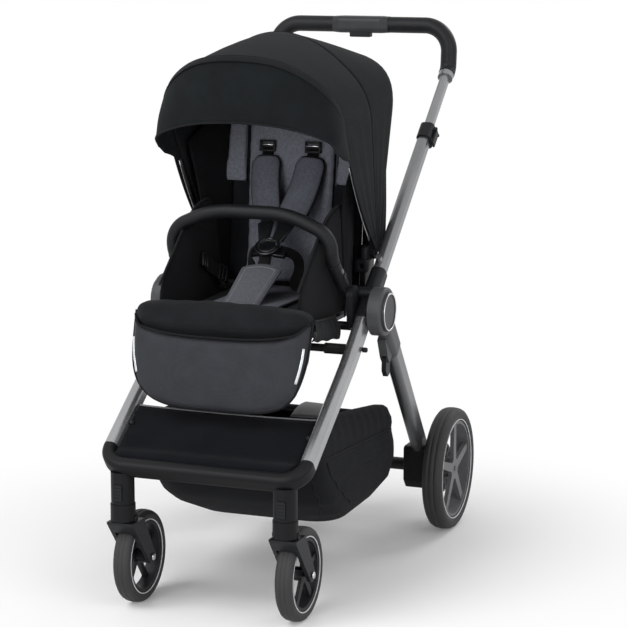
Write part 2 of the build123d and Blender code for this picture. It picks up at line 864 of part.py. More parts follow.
# Brake pins
with BuildPart() as brake_pin:
    with BuildSketch(Plane.YZ.offset(housing_out + brake_pin_proud - brake_pin_length)):
        with Locations(brake_spot):
            Circle(brake_pin_radius)
    extrude(amount=brake_pin_length)
    chamfer(brake_pin.edges().sort_by(Axis.X)[-1], brake_pin_proud)
save_pair(brake_pin.part, "brake_pin")

# Brake pedal round the axle bar
pedal_out = Vector(0, cos(radians(pedal_rise)), sin(radians(pedal_rise)))
pedal_plane = Plane(origin=(0, axle_y, axle_z), x_dir=pedal_out, z_dir=(1, 0, 0))
with BuildPart() as brake_pedal:
    with BuildSketch(pedal_plane.offset(-pedal_half)):
        Circle(axle_bar_radius + pedal_wall)
    extrude(amount=2 * pedal_half)
    with BuildSketch(pedal_plane.offset(-pedal_tread_half)):
        with BuildLine():
            FilletPolyline(
                (0, pedal_thick),
                (pedal_knee, pedal_thick / 2),
                (pedal_reach, -pedal_thick / 2),
                (0, -pedal_thick / 2),
                radius=pedal_round,
                close=True,
            )
        make_face()
    extrude(amount=2 * pedal_tread_half)
    with BuildSketch(pedal_plane.offset(-pedal_half)):
        Circle(axle_bar_radius + run_fit)
    extrude(amount=2 * pedal_half, mode=Mode.SUBTRACT)
save(brake_pedal.part, "brake_pedal")


def make_tyre(radius, half, rim_radius):
    side = radius - rim_radius
    seat = rim_radius + push_fit
    wall_low = rim_radius + tyre_wall_low * side
    wall_high = rim_radius + tyre_wall_high * side
    with BuildPart() as tyre:
        with BuildSketch(Plane.XY):
            with BuildLine():
                Polyline(
                    (half, wall_high), (half, wall_low), (half - tyre_bead, seat),
                    (tyre_bead - half, seat), (-half, wall_low), (-half, wall_high),
                )
                ThreePointArc((-half, wall_high), (0, radius), (half, wall_high))
            make_face()
        revolve(axis=Axis.X)
    return tyre.part


def make_rim(rim_radius, half, hub_radius, bore, spoke_width, spoke_thick):
    with BuildPart() as rim:
        with BuildSketch(Plane.YZ.offset(-half)):
            Circle(rim_radius)
            Circle(rim_radius - rim_barrel, mode=Mode.SUBTRACT)
        extrude(amount=2 * half)
        with BuildSketch(Plane.YZ.offset(half - rim_inset - spoke_thick)):
            with PolarLocations(0, spoke_count, start_angle=spoke_first):
                with Locations((rim_radius / 2, 0)):
                    Trapezoid(spoke_width, rim_radius - rim_barrel / 2, spoke_taper, rotation=-90)
            Circle(hub_radius)
        extrude(amount=spoke_thick)
        with BuildSketch(Plane.YZ.offset(-half)):
            Circle(hub_radius - rim_inset)
        extrude(amount=2 * half - rim_inset - spoke_thick)
        with BuildSketch(Plane.YZ.offset(-half)):
            Circle(bore + run_fit)
        extrude(amount=2 * half - bore_floor, mode=Mode.SUBTRACT)
    return rim.part


rear_place = Location((rear_wheel_x, axle_y, axle_z))
rear_tyre = make_tyre(rear_radius, rear_tyre_half, rear_rim_radius)
rear_spokes = make_rim(
    rear_rim_radius, rear_rim_half, rear_hub_radius, axle_radius, rear_spoke_width, rear_spoke_thick
)
with BuildPart() as rear_rim:
    add(rear_spokes)
    with BuildSketch(Plane.YZ.offset(-rear_rim_half)):
        Circle(socket_circle + socket_rim)
        Circle(rear_hub_radius - rim_inset, mode=Mode.SUBTRACT)
        with PolarLocations(socket_circle, socket_count):
            Circle(socket_radius, mode=Mode.SUBTRACT)
    extrude(amount=socket_deep)
save_pair(rear_place * rear_tyre, "rear_tyre")
save_pair(rear_place * rear_rim.part, "rear_rim")

front_place = Location((post_x, front_wheel_y, front_radius))
front_tyre = make_tyre(front_radius, front_tyre_half, front_rim_radius)
front_rim = make_rim(
    front_rim_radius, front_rim_half, front_hub_radius, front_axle_radius, front_spoke_width, front_spoke_thick
)
save_pair(front_place * front_tyre, "front_tyre")
save_pair(front_place * front_rim, "front_rim")

# Caster heads: swivel stem, round head and the ears of the suspension pin
fork_pin_plane = Plane(origin=(post_x, fork_pin_y, fork_pin_z), x_dir=(0, 1, 0), z_dir=(1, 0, 0))
with BuildPart() as caster_head:
    with BuildSketch(Plane.XY.offset(head_low)):
        with Locations((post_x, post_y)):
            Circle(head_radius)
    extrude(amount=post_low - move_gap - head_low)
    with BuildSketch(Plane.XY.offset(post_low - move_gap)):
        with Locations((post_x, post_y)):
            Circle(stem_radius)
    extrude(amount=stem_length)
    with BuildSketch(fork_pin_plane):
        Circle(fork_ear_radius)
    extrude(amount=fork_ear_half, both=True)
    with BuildSketch(fork_pin_plane):
        Circle(fork_ear_radius + move_gap)
        with Locations((0, -fork_root / 2)):
            Rectangle(2 * (fork_ear_radius + fork_swing_room), fork_root)
    extrude(amount=fork_lug_half + move_gap, both=True, mode=Mode.SUBTRACT)
    with BuildSketch(fork_pin_plane):
        Circle(fork_pin_radius)
    extrude(amount=fork_ear_half + fork_pin_proud, both=True)
save_pair(caster_head.part, "caster_head")

# Caster forks: two blades from the suspension pin to the wheel axle
wheel_room = front_radius + tyre_room
with BuildPart() as caster_fork:
    with BuildSketch(fork_pin_plane.offset(-fork_half)):
        Circle(fork_shoulder)
        with Locations((front_wheel_y - fork_pin_y, front_radius - fork_pin_z)):
            Circle(fork_foot)
        make_hull()
    extrude(amount=2 * fork_half)
    with BuildSketch(Plane.XY.offset(head_low - fork_top_gap)):
        with Locations((post_x, fork_pin_y)):
            Rectangle(4 * fork_half, 4 * fork_shoulder)
    extrude(amount=2 * fork_shoulder, mode=Mode.SUBTRACT)
    with BuildSketch(fork_pin_plane.offset(-front_tyre_half - tyre_room)):
        with Locations((front_wheel_y - fork_pin_y, front_radius - fork_pin_z)):
            Circle(wheel_room)
    extrude(amount=2 * (front_tyre_half + tyre_room), mode=Mode.SUBTRACT)
    with BuildSketch(fork_pin_plane):
        Circle(fork_ear_radius + move_gap)
    extrude(amount=fork_ear_half + fork_pin_proud + move_gap, both=True, mode=Mode.SUBTRACT)
    with BuildSketch(fork_pin_plane):
        Circle(fork_ear_radius)
        with Locations((0, -fork_root / 2)):
            Rectangle(2 * fork_ear_radius, fork_root)
    extrude(amount=fork_lug_half, both=True)
    with BuildSketch(fork_pin_plane.offset(-front_tyre_half - tyre_room)):
        with Locations((front_wheel_y - fork_pin_y, front_radius - fork_pin_z)):
            Circle(wheel_room)
    extrude(amount=2 * (front_tyre_half + tyre_room), mode=Mode.SUBTRACT)
    with BuildSketch(fork_pin_plane):
        Circle(fork_pin_radius + run_fit)
    extrude(amount=fork_half, both=True, mode=Mode.SUBTRACT)
    with BuildSketch(fork_pin_plane.offset(-fork_half - front_axle_proud)):
        with Locations((front_wheel_y - fork_pin_y, front_radius - fork_pin_z)):
            Circle(front_axle_radius)
    extrude(amount=2 * (fork_half + front_axle_proud))
save_pair(caster_fork.part, "caster_fork")

# Cross brace between the front legs
brace_spot = frame_point(brace_at, 0, 0)
brace_end = tube_x - leg_width / 2
with BuildPart() as cross_brace:
    for low, length, radius in (
        (-brace_end, brace_sleeve_length, brace_sleeve_radius),
        (-brace_end, 2 * brace_end, brace_radius),
        (brace_end - brace_sleeve_length, brace_sleeve_length, brace_sleeve_radius),
    ):
        with BuildSketch(Plane.YZ.offset(low)):
            with Locations((brace_spot.Y, brace_spot.Z)):
                Circle(radius)
        extrude(amount=length)
save(cross_brace.part, "cross_brace")

# Shopping basket: a soft tub open at the top, with a panel up the front legs
panel_out = Vector(0, leg_foot_dir.Z, -leg_foot_dir.Y)
panel_plane = Plane(origin=Vector(0, bar_corner.Y, bar_corner.Z), x_dir=(1, 0, 0), z_dir=panel_out)
panel_high = (basket_high + basket_panel_rise - bar_corner.Z) / -leg_foot_dir.Z
panel_low = leg_width / 2 + cloth_gap
with BuildPart() as basket:
    for z, half, front, back, corner in basket_rows:
        with BuildSketch(Plane.XY.offset(z)):
            with Locations((0, (front + back) / 2)):
                RectangleRounded(2 * half, back - front, corner)
    loft()
    for row in basket_rows:
        z, half, front, back, corner = row
        lift = basket_wall if row == basket_floor else 0
        with BuildSketch(Plane.XY.offset(z + lift)):
            with Locations((0, (front + back) / 2)):
                RectangleRounded(2 * (half - basket_wall), back - front - 2 * basket_wall, corner - basket_wall)
    loft(mode=Mode.SUBTRACT)
    with BuildSketch(panel_plane):
        with Locations((0, (panel_high + panel_low) / 2)):
            RectangleRounded(2 * (brace_end - cloth_gap), panel_high - panel_low, bar_corner_radius - leg_width / 2)
    extrude(amount=basket_wall / 2, both=True)
save(basket.part, "basket")

# Seat adapters on the inner side of the knuckles, with the bumper bar's pivot
adapter_out = tube_x - knuckle_width / 2 - cloth_gap
adapter_lug_in = bumper_x + bumper_eye_half + move_gap
with BuildPart() as seat_adapters:
    with BuildSketch(Plane.YZ.offset(adapter_lug_in)):
        with Locations((hub_y, hub_z)):
            Circle(adapter_radius)
        with Locations((bumper_pin_y, bumper_pin_z)):
            Circle(bumper_lug_radius)
        make_hull()
    extrude(amount=adapter_out - adapter_lug_in)
    with BuildSketch(Plane.YZ.offset(adapter_in)):
        with Locations((hub_y, hub_z)):
            Circle(adapter_boss_radius)
    extrude(amount=adapter_lug_in - adapter_in)
    with BuildSketch(Plane.YZ.offset(adapter_lug_in)):
        with Locations((bumper_pin_y, bumper_pin_z)):
            Circle(bumper_pin_radius)
    extrude(amount=-(2 * bumper_eye_half + bumper_pin_proud))
    mirror(about=Plane.YZ)
save(seat_adapters.part, "seat_adapters")

# Seat frame: side rails with the recline pins, cross tube and seat pan
rail_out = adapter_in - cloth_gap
rail_in = rail_out - rail_thick
eye_out = rail_in - move_gap
eye_in = eye_out - recline_eye_thick
shell_half = eye_in - recline_eye_gap
pad_half = shell_half - pad_side_in
tube_low = seat_pan_low + push_fit - seat_tube_radius
ear_in = leg_rest_barrel_half + move_gap
ledge_z = seat_pan_low + seat_pan_thick / 2
rest_pin = (leg_rest_y, leg_rest_z)
with BuildPart() as seat_frame:
    with BuildSketch(Plane.YZ.offset(rail_in)):
        with Locations((hub_y, hub_z), (recline_y, recline_z)):
            Circle(rail_height / 2)
        make_hull()
    extrude(amount=rail_thick)
    with BuildSketch(Plane.YZ.offset(rail_in)):
        with Locations((recline_y, recline_z)):
            Circle(recline_pin_radius)
    extrude(amount=-(rail_in - eye_in))
    with BuildSketch(Plane.YZ):
        with Locations((hub_y, tube_low)):
            Circle(seat_tube_radius)
    extrude(amount=rail_out)
    with BuildSketch(Plane.YZ.offset(rail_in)):
        with Locations((hub_y, (hub_z + tube_low) / 2)):
            Rectangle(2 * seat_tube_radius, hub_z - tube_low)
        with Locations((hub_y, tube_low)):
            Circle(seat_tube_radius)
    extrude(amount=rail_thick)
    with BuildSketch(Plane.YZ.offset(ear_in)):
        with Locations(rest_pin):
            Circle(leg_rest_ear)
        with Locations((ledge_front + ledge_round, ledge_z)):
            Circle(ledge_round)
        make_hull()
    extrude(amount=leg_rest_ear_thick)
    with BuildSketch(Plane.YZ.offset(ear_in)):
        with Locations(rest_pin):
            Circle(leg_rest_pin_radius)
    extrude(amount=-(leg_rest_pin_length + move_gap))
    mirror(about=Plane.YZ)
    with BuildSketch(Plane.XY.offset(seat_pan_low)):
        with Locations((0, (seat_front_y + seat_back_y) / 2)):
            RectangleRounded(2 * seat_half, seat_back_y - seat_front_y, seat_pan_corner)
        with Locations((0, (ledge_front + seat_front_y) / 2)):
            Rectangle(2 * (ear_in + leg_rest_ear_thick), seat_front_y - ledge_front)
        with Locations((0, seat_front_y)):
            Rectangle(2 * (seat_half - seat_pan_corner), 2 * seat_pan_corner)
    extrude(amount=seat_pan_thick)
save(seat_frame.part, "seat_frame")


def cushion(plane, width, length, thick, corner, draw):
    with BuildPart() as soft:
        for share, inset in cushion_rows:
            with BuildSketch(plane.offset(thick * share)):
                RectangleRounded(width - 2 * inset * draw, length - 2 * inset * draw, corner)
        loft()
    return soft.part


# Seat cushion with its front roll
seat_top = seat_pan_low + seat_pan_thick + cloth_gap
seat_centre = Plane((0, (seat_front_y + seat_back_y) / 2, seat_top))
roll_rows = (
    (-roll_half, roll_end_draw),
    (roll_end - roll_half, roll_side_draw),
    (0, 0),
    (roll_half - roll_end, roll_side_draw),
    (roll_half, roll_end_draw),
)
with BuildPart() as seat_cushion:
    add(cushion(seat_centre, 2 * seat_half, seat_back_y - seat_front_y, cushion_thick, cushion_corner, cushion_draw))
    for x, draw in roll_rows:
        with BuildSketch(Plane.YZ.offset(x)):
            with Locations((roll_front_y + roll_depth / 2, (seat_top + roll_high) / 2)):
                RectangleRounded(roll_depth - 2 * draw, roll_high - seat_top - 2 * draw, roll_round - draw)
    loft(ruled=True)
save(seat_cushion.part, "seat_cushion")

# Side panels of the seat
with BuildPart() as side_panels:
    with BuildSketch(Plane.YZ.offset(seat_half + cloth_gap)):
        with BuildLine():
            FilletPolyline(
                (panel_front_y, panel_low_z),
                (panel_front_y, panel_front_z),
                (panel_knee_y, panel_knee_z),
                (panel_top_front, panel_top_z),
                (panel_top_back, panel_top_z),
                (panel_back_y, panel_back_z),
                (panel_back_y, panel_low_z),
                radius=panel_round,
                close=True,
            )
        make_face()
    extrude(amount=panel_thick)
    mirror(about=Plane.YZ)
save(side_panels.part, "side_panels")

# Backrest
lean_up = Vector(0, cos(radians(lean)), sin(radians(lean)))
lean_front = Vector(0, -sin(radians(lean)), cos(radians(lean)))
recline = Vector(0, recline_y, recline_z)


def back_point(up, front, x=0.0):
    return recline + lean_up * up + lean_front * front + side_x * x


def back_plane(front, up=0.0):
    return Plane(origin=back_point(up, front), x_dir=(1, 0, 0), z_dir=lean_front)


canopy_up = (Vector(0, canopy_y, canopy_z) - recline).dot(lean_up)
canopy_front = (Vector(0, canopy_y, canopy_z) - recline).dot(lean_front)
lug_out = lug_in + lug_thick
mid_bow_in = lug_out + move_gap
front_bow_in = mid_bow_in + bow_thick + move_gap
with BuildPart() as backrest_shell:
    with BuildSketch(back_plane(shell_back)):
        with Locations((0, (shell_low + shell_high) / 2)):
            RectangleRounded(2 * shell_half, shell_high - shell_low, shell_corner)
        with Locations((shell_half - shell_arm / 2, (gusset_low + gusset_high) / 2)):
            Rectangle(shell_arm, gusset_high - gusset_low)
        with Locations(((shell_half - shell_arm + eye_out) / 2, (foot_low + foot_high) / 2)):
            Rectangle(eye_out - shell_half + shell_arm, foot_high - foot_low)
        with Locations(((shell_half - shell_arm + lug_out) / 2, canopy_up)):
            Rectangle(lug_out - shell_half + shell_arm, canopy_arm)
    extrude(amount=shell_thick)
    with BuildSketch(Plane.YZ.offset(eye_in)):
        with Locations((recline_y, recline_z)):
            Circle(recline_eye_radius)
    extrude(amount=eye_out - eye_in)
    with BuildSketch(back_plane(shell_back)):
        with Locations(((eye_in + eye_out) / 2, web_high / 2)):
            Rectangle(eye_out - eye_in, web_high)
    extrude(amount=-shell_back)
    with BuildSketch(Plane.YZ.offset(eye_in - cut_over)):
        with Locations((recline_y, recline_z)):
            Circle(recline_pin_radius + run_fit)
    extrude(amount=eye_out - eye_in + 2 * cut_over, mode=Mode.SUBTRACT)
    with BuildSketch(back_plane(shell_back)):
        with Locations(((lug_in + lug_out) / 2, canopy_up)):
            Rectangle(lug_thick, canopy_arm)
    extrude(amount=canopy_front - shell_back)
    with BuildSketch(Plane.YZ.offset(lug_in)):
        with Locations((canopy_y, canopy_z)):
            Circle(canopy_lug_radius)
    extrude(amount=lug_thick)
    with BuildSketch(Plane.YZ.offset(lug_out)):
        with Locations((canopy_y, canopy_z)):
            Circle(canopy_pin_radius)
    extrude(amount=front_bow_in + bow_thick + canopy_pin_proud - lug_out)
    mirror(about=Plane.YZ)
save(backrest_shell.part, "backrest_shell")

pad_back = shell_back + shell_thick + cloth_gap
pad_centre = back_plane(pad_back, (pad_low + pad_high) / 2)
with BuildPart() as backrest_pad:
    add(cushion(pad_centre, 2 * pad_half, pad_high - pad_low, pad_thick, pad_corner, pad_draw))
save(backrest_pad.part, "backrest_pad")

liner_back = pad_back + pad_thick + cloth_gap
with BuildPart() as back_liner:
    with BuildSketch(back_plane(liner_back)):
        with BuildLine():
            FilletPolyline(
                (-liner_waist_half, pad_low + liner_low_in),
                (-liner_waist_half, liner_head_low),
                (-liner_head_half, liner_head_low + liner_flare),
                (-liner_head_half, pad_high - liner_high_in),
                (liner_head_half, pad_high - liner_high_in),
                (liner_head_half, liner_head_low + liner_flare),
                (liner_waist_half, liner_head_low),
                (liner_waist_half, pad_low + liner_low_in),
                radius=liner_round,
                close=True,
            )
        make_face()
    extrude(amount=liner_thick)
    fillet(back_liner.faces().sort_by(lambda face: face.center().dot(lean_front))[-1].edges(), liner_edge)
save(back_liner.part, "back_liner")

# Wings at the sides of the backrest
wing_back = -(shell_back + shell_thick + cloth_gap)
with BuildPart() as back_wings:
    with BuildSketch(Plane(origin=back_point(wing_low, 0), x_dir=(1, 0, 0), z_dir=lean_up)):
        with BuildLine():
            Polyline(
                (pad_half + wing_root, wing_back),
                (pad_half + wing_root + wing_thick, wing_back),
                (wing_out, wing_lip - wing_reach),
                (wing_out - wing_lip, -wing_reach),
                close=True,
            )
        make_face()
    extrude(amount=wing_high - wing_low)
    mirror(about=Plane.YZ)
save(back_wings.part, "back_wings")

# Canopy: three arches that turn about one pin each side, cloth between them, and the visor
cloth_half = front_bow_in + bow_thick + cloth_gap + cloth


def arch_plane(angle):
    up = Vector(0, cos(radians(angle)), sin(radians(angle)))
    return Plane(origin=(0, canopy_y, canopy_z), x_dir=(1, 0, 0), z_dir=side_x.cross(up))


def arch_line(half, low, arch, inset):
    height = arch[1] - inset
    rise, run, drop = arch[2:]
    return (
        (half, low), (half, height - rise), (half - run, height - drop), (0, height),
        (run - half, height - drop), (-half, height - rise), (-half, low),
    )


def arch_band(half, low, arch, inset, thick):
    FilletPolyline(*arch_line(half, low, arch, inset), radius=arch_bend)
    Line((-half, low), (thick - half, low))
    FilletPolyline(*reversed(arch_line(half - thick, low, arch, inset + thick)), radius=arch_bend)
    Line((half - thick, low), (half, low))


def cloth_panel(name, rows):
    with BuildPart() as panel:
        for arch, turn, low in rows:
            with BuildSketch(arch_plane(arch[0] + turn)):
                with BuildLine():
                    arch_band(cloth_half, low, arch, 0, cloth)
                make_face()
        loft(ruled=True)
    save(panel.part, name)


def bow(name, arch, inside, wide):
    with BuildPart() as strip:
        with BuildSketch(arch_plane(arch[0])):
            with BuildLine():
                arch_band(inside + bow_thick, 0, arch, cloth + bow_drop, bow_thick)
            make_face()
        extrude(amount=wide)
        for start in (inside, -inside - bow_thick):
            with BuildSketch(Plane.YZ.offset(start)):
                with Locations((canopy_y, canopy_z)):
                    Circle(canopy_eye_radius)
            extrude(amount=bow_thick)
        with BuildSketch(Plane.YZ):
            with Locations((canopy_y, canopy_z)):
                Circle(canopy_pin_radius + run_fit)
        extrude(amount=tube_x, both=True, mode=Mode.SUBTRACT)
    save(strip.part, name)


cloth_panel("canopy_rear_panel", ((rear_arch, 0, cloth_low), (mid_arch, 0, cloth_low)))
cloth_panel("canopy_front_panel", ((mid_arch, cloth_seam, cloth_low), (front_arch, -cloth_seam, cloth_low)))
cloth_panel("canopy_visor", ((front_arch, 0, visor_seam_low), (visor_edge, 0, visor_low)))
bow("canopy_mid_bow", mid_arch, mid_bow_in, bow_wide)
bow("canopy_front_bow", front_arch, front_bow_in, -bow_wide)

# Bumper bar: one padded arch with flat eyes at its ends
bumper_dir = (Vector(0, bumper_knee_y, bumper_knee_z) - Vector(0, bumper_pin_y, bumper_pin_z)).normalized()
bumper_start = Vector(bumper_x, bumper_pin_y, bumper_pin_z) + bumper_dir * (bumper_lug_radius + bumper_radius)
release_spot = Vector(bumper_x, bumper_pin_y, bumper_pin_z) + bumper_dir * release_at
bumper_arm = (bumper_top_y - bumper_knee_y) / (bumper_top_z - bumper_knee_z)
shoulder_y = bumper_top_y - bumper_arm * bumper_shoulder_drop
shoulder_z = bumper_top_z - bumper_shoulder_drop
crown_x = bumper_x - bumper_shoulder_run
bumper_bends = (bumper_knee_radius, bumper_shoulder_radius, bumper_crown_radius)
with BuildPart() as bumper_bar:
    with BuildLine() as bumper_path:
        FilletPolyline(
            bumper_start,
            (bumper_x, bumper_knee_y, bumper_knee_z),
            (bumper_x, shoulder_y, shoulder_z),
            (crown_x, bumper_top_y, bumper_top_z),
            (-crown_x, bumper_top_y, bumper_top_z),
            (-bumper_x, shoulder_y, shoulder_z),
            (-bumper_x, bumper_knee_y, bumper_knee_z),
            (-bumper_x, bumper_start.Y, bumper_start.Z),
            radius=bumper_bends + bumper_bends[::-1],
        )
    with BuildSketch(Plane(origin=bumper_start, x_dir=(1, 0, 0), z_dir=bumper_dir)):
        Circle(bumper_radius)
    sweep(path=bumper_path.line)
    for side in (1, -1):
        with BuildSketch(Plane.YZ.offset(side * bumper_x)):
            with Locations((bumper_pin_y, bumper_pin_z), (bumper_start.Y, bumper_start.Z)):
                Circle(bumper_eye_radius)
            make_hull()
        extrude(amount=bumper_eye_half, both=True)
        with BuildSketch(Plane.YZ.offset(side * bumper_x)):
            with Locations((bumper_pin_y, bumper_pin_z)):
                Circle(bumper_pin_radius + run_fit)
        extrude(amount=bumper_radius, both=True, mode=Mode.SUBTRACT)
        with BuildSketch(Plane.YZ.offset(side * (bumper_x + bumper_radius + cut_over))):
            with Locations((release_spot.Y, release_spot.Z)):
                Circle(release_radius + move_gap)
        extrude(amount=-side * (release_deep + release_travel + cut_over), mode=Mode.SUBTRACT)
save(bumper_bar.part, "bumper_bar")

with BuildPart() as bumper_button:
    with BuildSketch(Plane.YZ.offset(bumper_x + bumper_radius + release_proud)):
        with Locations((release_spot.Y, release_spot.Z)):
            Circle(release_radius)
    extrude(amount=-(release_deep + release_proud - move_gap))
    fillet(bumper_button.edges().sort_by(Axis.X)[-1], release_round)
save_pair(bumper_button.part, "bumper_button")

# Leg rest: hinged board with a padded front
board_middle = leg_rest_z - leg_rest_barrel - leg_rest_length / 2
with BuildPart() as leg_rest_frame:
    with BuildSketch(Plane.YZ.offset(-leg_rest_barrel_half)):
        with Locations(rest_pin):
            Circle(leg_rest_barrel)
        with Locations((leg_rest_y, leg_rest_z - leg_rest_barrel)):
            Rectangle(leg_rest_board, 2 * leg_rest_barrel)
    extrude(amount=2 * leg_rest_barrel_half)
    with BuildSketch(Plane.YZ.offset(-leg_rest_barrel_half)):
        with Locations(rest_pin):
            Circle(leg_rest_pin_radius + run_fit)
    extrude(amount=2 * leg_rest_barrel_half, mode=Mode.SUBTRACT)
    with BuildSketch(Plane.XZ.offset(-leg_rest_y - leg_rest_board / 2)):
        with Locations((0, board_middle)):
            RectangleRounded(2 * (leg_rest_half - leg_rest_board_in), leg_rest_length, leg_rest_board_corner)
    extrude(amount=leg_rest_board)
save(leg_rest_frame.part, "leg_rest_frame")

rest_plane = Plane(
    origin=(0, leg_rest_y - leg_rest_board / 2 - cloth_gap, board_middle - leg_rest_pad_drop),
    x_dir=(1, 0, 0),
    z_dir=(0, -1, 0),
)
with BuildPart() as leg_rest_cushion:
    add(
        cushion(rest_plane, 2 * leg_rest_half, leg_rest_length, leg_rest_pad, leg_rest_pad_corner, leg_rest_pad_draw)
    )
save(leg_rest_cushion.part, "leg_rest_pad")

# Harness: crotch strap with its pad, lap straps, buckle and button
buckle = Vector(0, buckle_y, buckle_z)
strap_foot = Vector(0, strap_foot_y, strap_foot_z)
strap_dir = (buckle - strap_foot).normalized()
strap_front = Vector(0, -strap_dir.Z, strap_dir.Y)
strap_end = (buckle - strap_foot).length - buckle_radius - cloth_gap
with BuildPart() as lap_harness:
    with BuildSketch(Plane(origin=strap_foot, x_dir=(1, 0, 0), z_dir=strap_front)):
        with BuildLine():
            FilletPolyline(
                (-strap_foot_half, 0),
                (strap_foot_half, 0),
                (strap_head_half, strap_end),
                (-strap_head_half, strap_end),
                radius=strap_round,
                close=True,
            )
        make_face()
    extrude(amount=strap_half_thick, both=True)
    for side in (1, -1):
        with BuildLine() as lap_path:
            FilletPolyline(
                (side * (buckle_radius + lap_room), buckle_y, buckle_z),
                (side * lap_knee_x, lap_knee_y, lap_knee_z),
                (side * (seat_half - lap_end_in), lap_end_y, lap_end_z),
                radius=lap_bend,
            )
        with BuildSketch(Plane(origin=lap_path.line @ 0, x_dir=strap_dir, z_dir=lap_path.line % 0)):
            Rectangle(webbing_width, webbing)
        sweep(path=lap_path.line)
save(lap_harness.part, "lap_harness")

buckle_plane = Plane(origin=buckle, x_dir=(1, 0, 0), z_dir=strap_front)
with BuildPart() as buckle_body:
    with BuildSketch(buckle_plane):
        Circle(buckle_radius)
    extrude(amount=buckle_thick / 2, both=True)
    fillet(buckle_body.edges(), buckle_round)
    with BuildSketch(buckle_plane.offset(buckle_thick / 2)):
        Circle(buckle_button_radius + move_gap)
    extrude(amount=-buckle_well, mode=Mode.SUBTRACT)
save(buckle_body.part, "buckle_body")

with BuildPart() as buckle_button:
    with BuildSketch(buckle_plane.offset(buckle_thick / 2 + buckle_button_proud)):
        Circle(buckle_button_radius)
    extrude(amount=-buckle_button_length)
save(buckle_button.part, "buckle_button")

# Shoulder straps: webbing from the backrest to the buckle, sliders on it, and the pads in front of it
strap_back = liner_back + liner_thick + cloth_gap
web_middle = strap_back + webbing / 2
web_slot = back_point(shoulder_slot, web_middle, shoulder_x)
web_low = back_point(shoulder_low, shoulder_low_front, shoulder_low_x)
tongue = buckle + strap_dir * (buckle_radius + tongue_room) + side_x * tongue_x
with BuildPart() as shoulder_webbing:
    with BuildLine() as web_path:
        FilletPolyline(
            back_point(shoulder_top, web_middle, shoulder_x),
            web_slot,
            web_low,
            tongue,
            radius=shoulder_bend,
        )
    with BuildSketch(Plane(origin=web_path.line @ 0, x_dir=(1, 0, 0), z_dir=web_path.line % 0)):
        Rectangle(webbing_width, webbing)
    sweep(path=web_path.line)
    with BuildSketch(back_plane(strap_back)):
        with Locations((shoulder_x, slider_at)):
            RectangleRounded(2 * slider_half, slider_height, slider_corner)
    extrude(amount=slider_thick)
    mirror(about=Plane.YZ)
save(shoulder_webbing.part, "shoulder_webbing")

pad_up = (web_slot - web_low).normalized()
pad_front = side_x.cross(pad_up).normalized()
pad_place = web_low + pad_up * (shoulder_pad_low + shoulder_pad_length / 2)
with BuildPart() as shoulder_pads:
    with BuildSketch(Plane(origin=pad_place, x_dir=pad_up, z_dir=pad_front).offset(webbing / 2 + cloth_gap)):
        RectangleRounded(shoulder_pad_length, 2 * shoulder_pad_half, shoulder_pad_corner)
    extrude(amount=shoulder_pad_thick)
    mirror(about=Plane.YZ)
save(shoulder_pads.part, "shoulder_pads")
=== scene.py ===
from math import cos, pi, radians, sin
import bmesh
import bpy
from mathutils import Matrix, Vector
from mathutils.bvhtree import BVHTree


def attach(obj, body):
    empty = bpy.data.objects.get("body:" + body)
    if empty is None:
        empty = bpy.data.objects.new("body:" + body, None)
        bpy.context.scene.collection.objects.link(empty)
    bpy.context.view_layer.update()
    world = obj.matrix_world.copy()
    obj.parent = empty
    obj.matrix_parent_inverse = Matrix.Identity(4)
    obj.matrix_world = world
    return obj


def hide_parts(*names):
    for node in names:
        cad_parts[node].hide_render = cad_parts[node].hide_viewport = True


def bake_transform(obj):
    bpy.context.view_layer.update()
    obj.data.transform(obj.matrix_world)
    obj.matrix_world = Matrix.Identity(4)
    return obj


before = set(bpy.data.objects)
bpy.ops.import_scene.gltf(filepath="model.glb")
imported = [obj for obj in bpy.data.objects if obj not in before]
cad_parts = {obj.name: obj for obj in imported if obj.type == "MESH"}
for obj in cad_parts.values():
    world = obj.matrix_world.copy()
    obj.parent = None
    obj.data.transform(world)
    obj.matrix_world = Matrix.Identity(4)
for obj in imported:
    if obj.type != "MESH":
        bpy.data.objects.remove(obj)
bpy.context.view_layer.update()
print("frame loaded:", len(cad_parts), "solids")


def linked(name, data):
    obj = bpy.data.objects.new(name, data)
    bpy.context.scene.collection.objects.link(obj)
    return obj


def aim(obj, eye, target):
    obj.location = eye
    obj.rotation_euler = (Vector(target) - Vector(eye)).to_track_quat("-Z", "Y").to_euler()


view = {
    "eye": (1.5945, -4.0824, 1.3583),
    "target": (-0.0563, 0.2992, 0.4777),
    "lens": 120.57,
    "sensor": 36.0,
}
camData = bpy.data.cameras.new("photoCamera")
camData.lens = view["lens"]
camData.sensor_width = view["sensor"]
camera = linked("photoCamera", camData)
aim(camera, view["eye"], view["target"])
bpy.context.scene.camera = camera
bpy.context.scene.view_settings.view_transform = "Standard"

# where the seat and the hood turn, in metres, as the solids have them
recline = Vector((0, 0.012, 0.572))
leanAngle = radians(83)
leanUp = Vector((0, cos(leanAngle), sin(leanAngle)))
leanFront = Vector((0, -sin(leanAngle), cos(leanAngle)))
canopyPin = Vector((0, 0.022, 0.672))
sides = ((1, "Left"), (-1, "Right"))


def backPoint(x, up, front):
    return recline + leanUp * up + leanFront * front + Vector((x, 0, 0))


def clamp(value):
    return min(1.0, max(0.0, value))


def setSurface(mat, values):
    for key, value in values.items():
        mat.node_tree.nodes["Principled BSDF"].inputs[key].default_value = value


def newFinish(name, colour, rough, metallic=0.0):
    mat = bpy.data.materials.new(name)
    mat.use_nodes = True
    mat.diffuse_color = (*colour, 1)
    setSurface(mat, {"Base Color": (*colour, 1), "Roughness": rough, "Metallic": metallic})
    return mat


